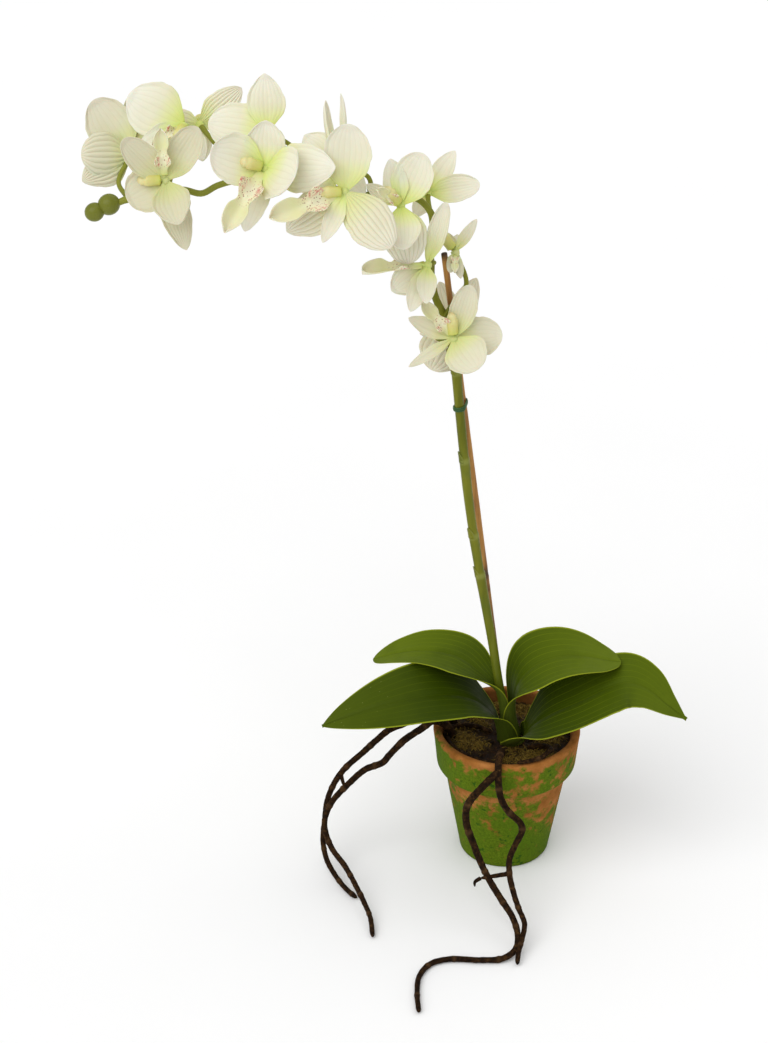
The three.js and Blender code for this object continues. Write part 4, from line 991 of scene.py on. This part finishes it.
ROOTS = {    # the points, radius and seed of each root in a piece
    "aerial_roots_front": [
        ([(-5, -22, 92), (-5, -36, 107), (-8, -52, 108.5), (-8, -60, 95), (-6, -64, 85), (-1, -68, 77),
          (8, -72, 69), (9, -74, 64), (4, -79, 55), (0, -85, 47), (0, -92, 38), (3, -101, 28),
          (6, -109, 22), (10, -119, 16), (8, -130, 11), (5, -140, 6), (4, -148, 2.4)], 2.5, 0),
        ([(-8, -57, 104), (-19, -61, 94), (-30, -66, 81), (-31, -70, 69), (-26, -78, 56),
          (-20, -87, 44), (-14, -95, 35), (-6, -105, 26), (2, -116, 18), (5, -127, 11), (3, -136, 6),
          (-6, -142, 3), (-22, -143, 2.4), (-44, -142, 2.4), (-57, -147, 2.4), (-65, -160, 2.4),
          (-67, -178, 2.4), (-66, -199, 2.4)], 2.5, 1),
        ([(0, -91, 39), (-12, -93, 38), (-21, -94, 37)], 1.7, 2),
        ([(-21, -94, 37), (-25, -96, 35), (-25, -98, 32.5)], 1.4, 7),
    ],
    "aerial_roots_left": [
        ([(-36, 13, 90), (-42, 15, 105.5), (-54, 14, 110.5), (-71, 10, 102), (-86, 6, 97),
          (-94, 5, 90), (-106, 2, 79), (-118, -2, 69), (-126, -6, 59), (-132, -12, 46),
          (-134, -20, 32), (-135, -30, 21), (-132, -40, 12), (-125, -52, 6), (-118, -62, 3),
          (-110, -72, 2.4)], 2.5, 10),
        ([(-38, 0, 90), (-43.5, -1, 105), (-54, -2, 110), (-63, -2, 103), (-75, -3, 94), (-86, -5, 82),
          (-91, -6, 76), (-104, -8, 71), (-115, -10, 61), (-127, -16, 50), (-132, -20, 42),
          (-134, -23, 31), (-129, -38, 23), (-118, -55, 17), (-110, -72, 12), (-104, -86, 8),
          (-100, -98, 5), (-98, -117, 2.4)], 2.5, 11),
        ([(-122, -4, 64), (-119, -12, 57.5)], 1.5, 12),
    ],
    "surface_root_1": [
        ([(-44, 4, 99), (-38, 8, 98.5), (-29, 9.5, 98.5), (-19, 7, 98.5), (-11, 1, 98)], 2.0, 20)],
    "surface_root_2": [
        ([(-44, -6, 98), (-41.5, -17, 99.5), (-33.5, -29.5, 100.5), (-20.5, -39.5, 101),
          (-9, -44, 100.5)], 2.0, 21)],
    "surface_root_3": [
        ([(15, -20, 98.5), (22, -17, 98.5), (29, -20, 99.5), (31.5, -28, 103), (29.5, -36, 107.6),
          (24, -43.5, 107.6), (15, -48.5, 107.5), (5, -51, 107.3)], 2.0, 22)],
}


def add_root(shape, points, size, seed):
    """A tapering root with joints 14 to 34 mm apart."""
    path = spline(points, 1.1)
    t = np.linspace(0, 1, len(path))
    run = lengths(path)
    dice = np.random.default_rng(100 + seed)
    joints = np.cumsum(dice.uniform(14, 34, 40))
    knot = np.zeros(len(path))
    for joint in joints[joints < run[-1] - 4]:
        knot += hump(run, joint, 1.3)
    width = size * (1.12 - 0.42 * t + 0.05 * roughness(path, 0.09, seed)) + 0.3 * knot
    width = width * np.sqrt(np.clip(1 - ((run - run[-1] + 4) / 4.2).clip(0, 1) ** 2, 0.03, 1))
    sides = 14
    bark = np.array([[noise.noise(Vector((at * 0.35, j * 1.4, seed * 3.1))) for j in range(sides)]
                     for at in run])
    tube(shape, path, width[:, None] * (1 + 0.12 * bark), sides, joint=np.clip(knot, 0, 1))


def make_roots():
    """Each root is its points, its radius and its seed."""
    for name, roots in ROOTS.items():
        shape = Shape()
        for points, radius, seed in roots:
            add_root(shape, points, radius, seed)
        shape.build(name + "_fine", "root", [name])


# ---- assembly

make_pot()
make_mix()
make_moss()
make_crown()
for number, leaf in enumerate(LEAVES):
    make_leaf(leaf, number)
for number, bloom in enumerate(BLOOMS, 1):
    make_bloom(bloom, number)
make_spike()
make_stake()
make_tie()
make_roots()

FLOOR_REACH = 9.0    # m
floor_paint = Paint("floor")
floor_grey = floor_paint.ramp(floor_paint.noise(3, 2), (0.3, 0.93), (0.7, 0.95))
floor_mesh = bpy.data.meshes.new("floor")
floor_corners = [(x * FLOOR_REACH, y * FLOOR_REACH, 0) for x, y in ((-1, -1), (1, -1), (1, 1), (-1, 1))]
floor_mesh.from_pydata(floor_corners, [], [(0, 1, 2, 3)])
floor_mesh.materials.append(floor_paint.finish(floor_grey, 0.9))
floor = bpy.data.objects.new("floor", floor_mesh)
scene.collection.objects.link(floor)

bpy.context.view_layer.update()
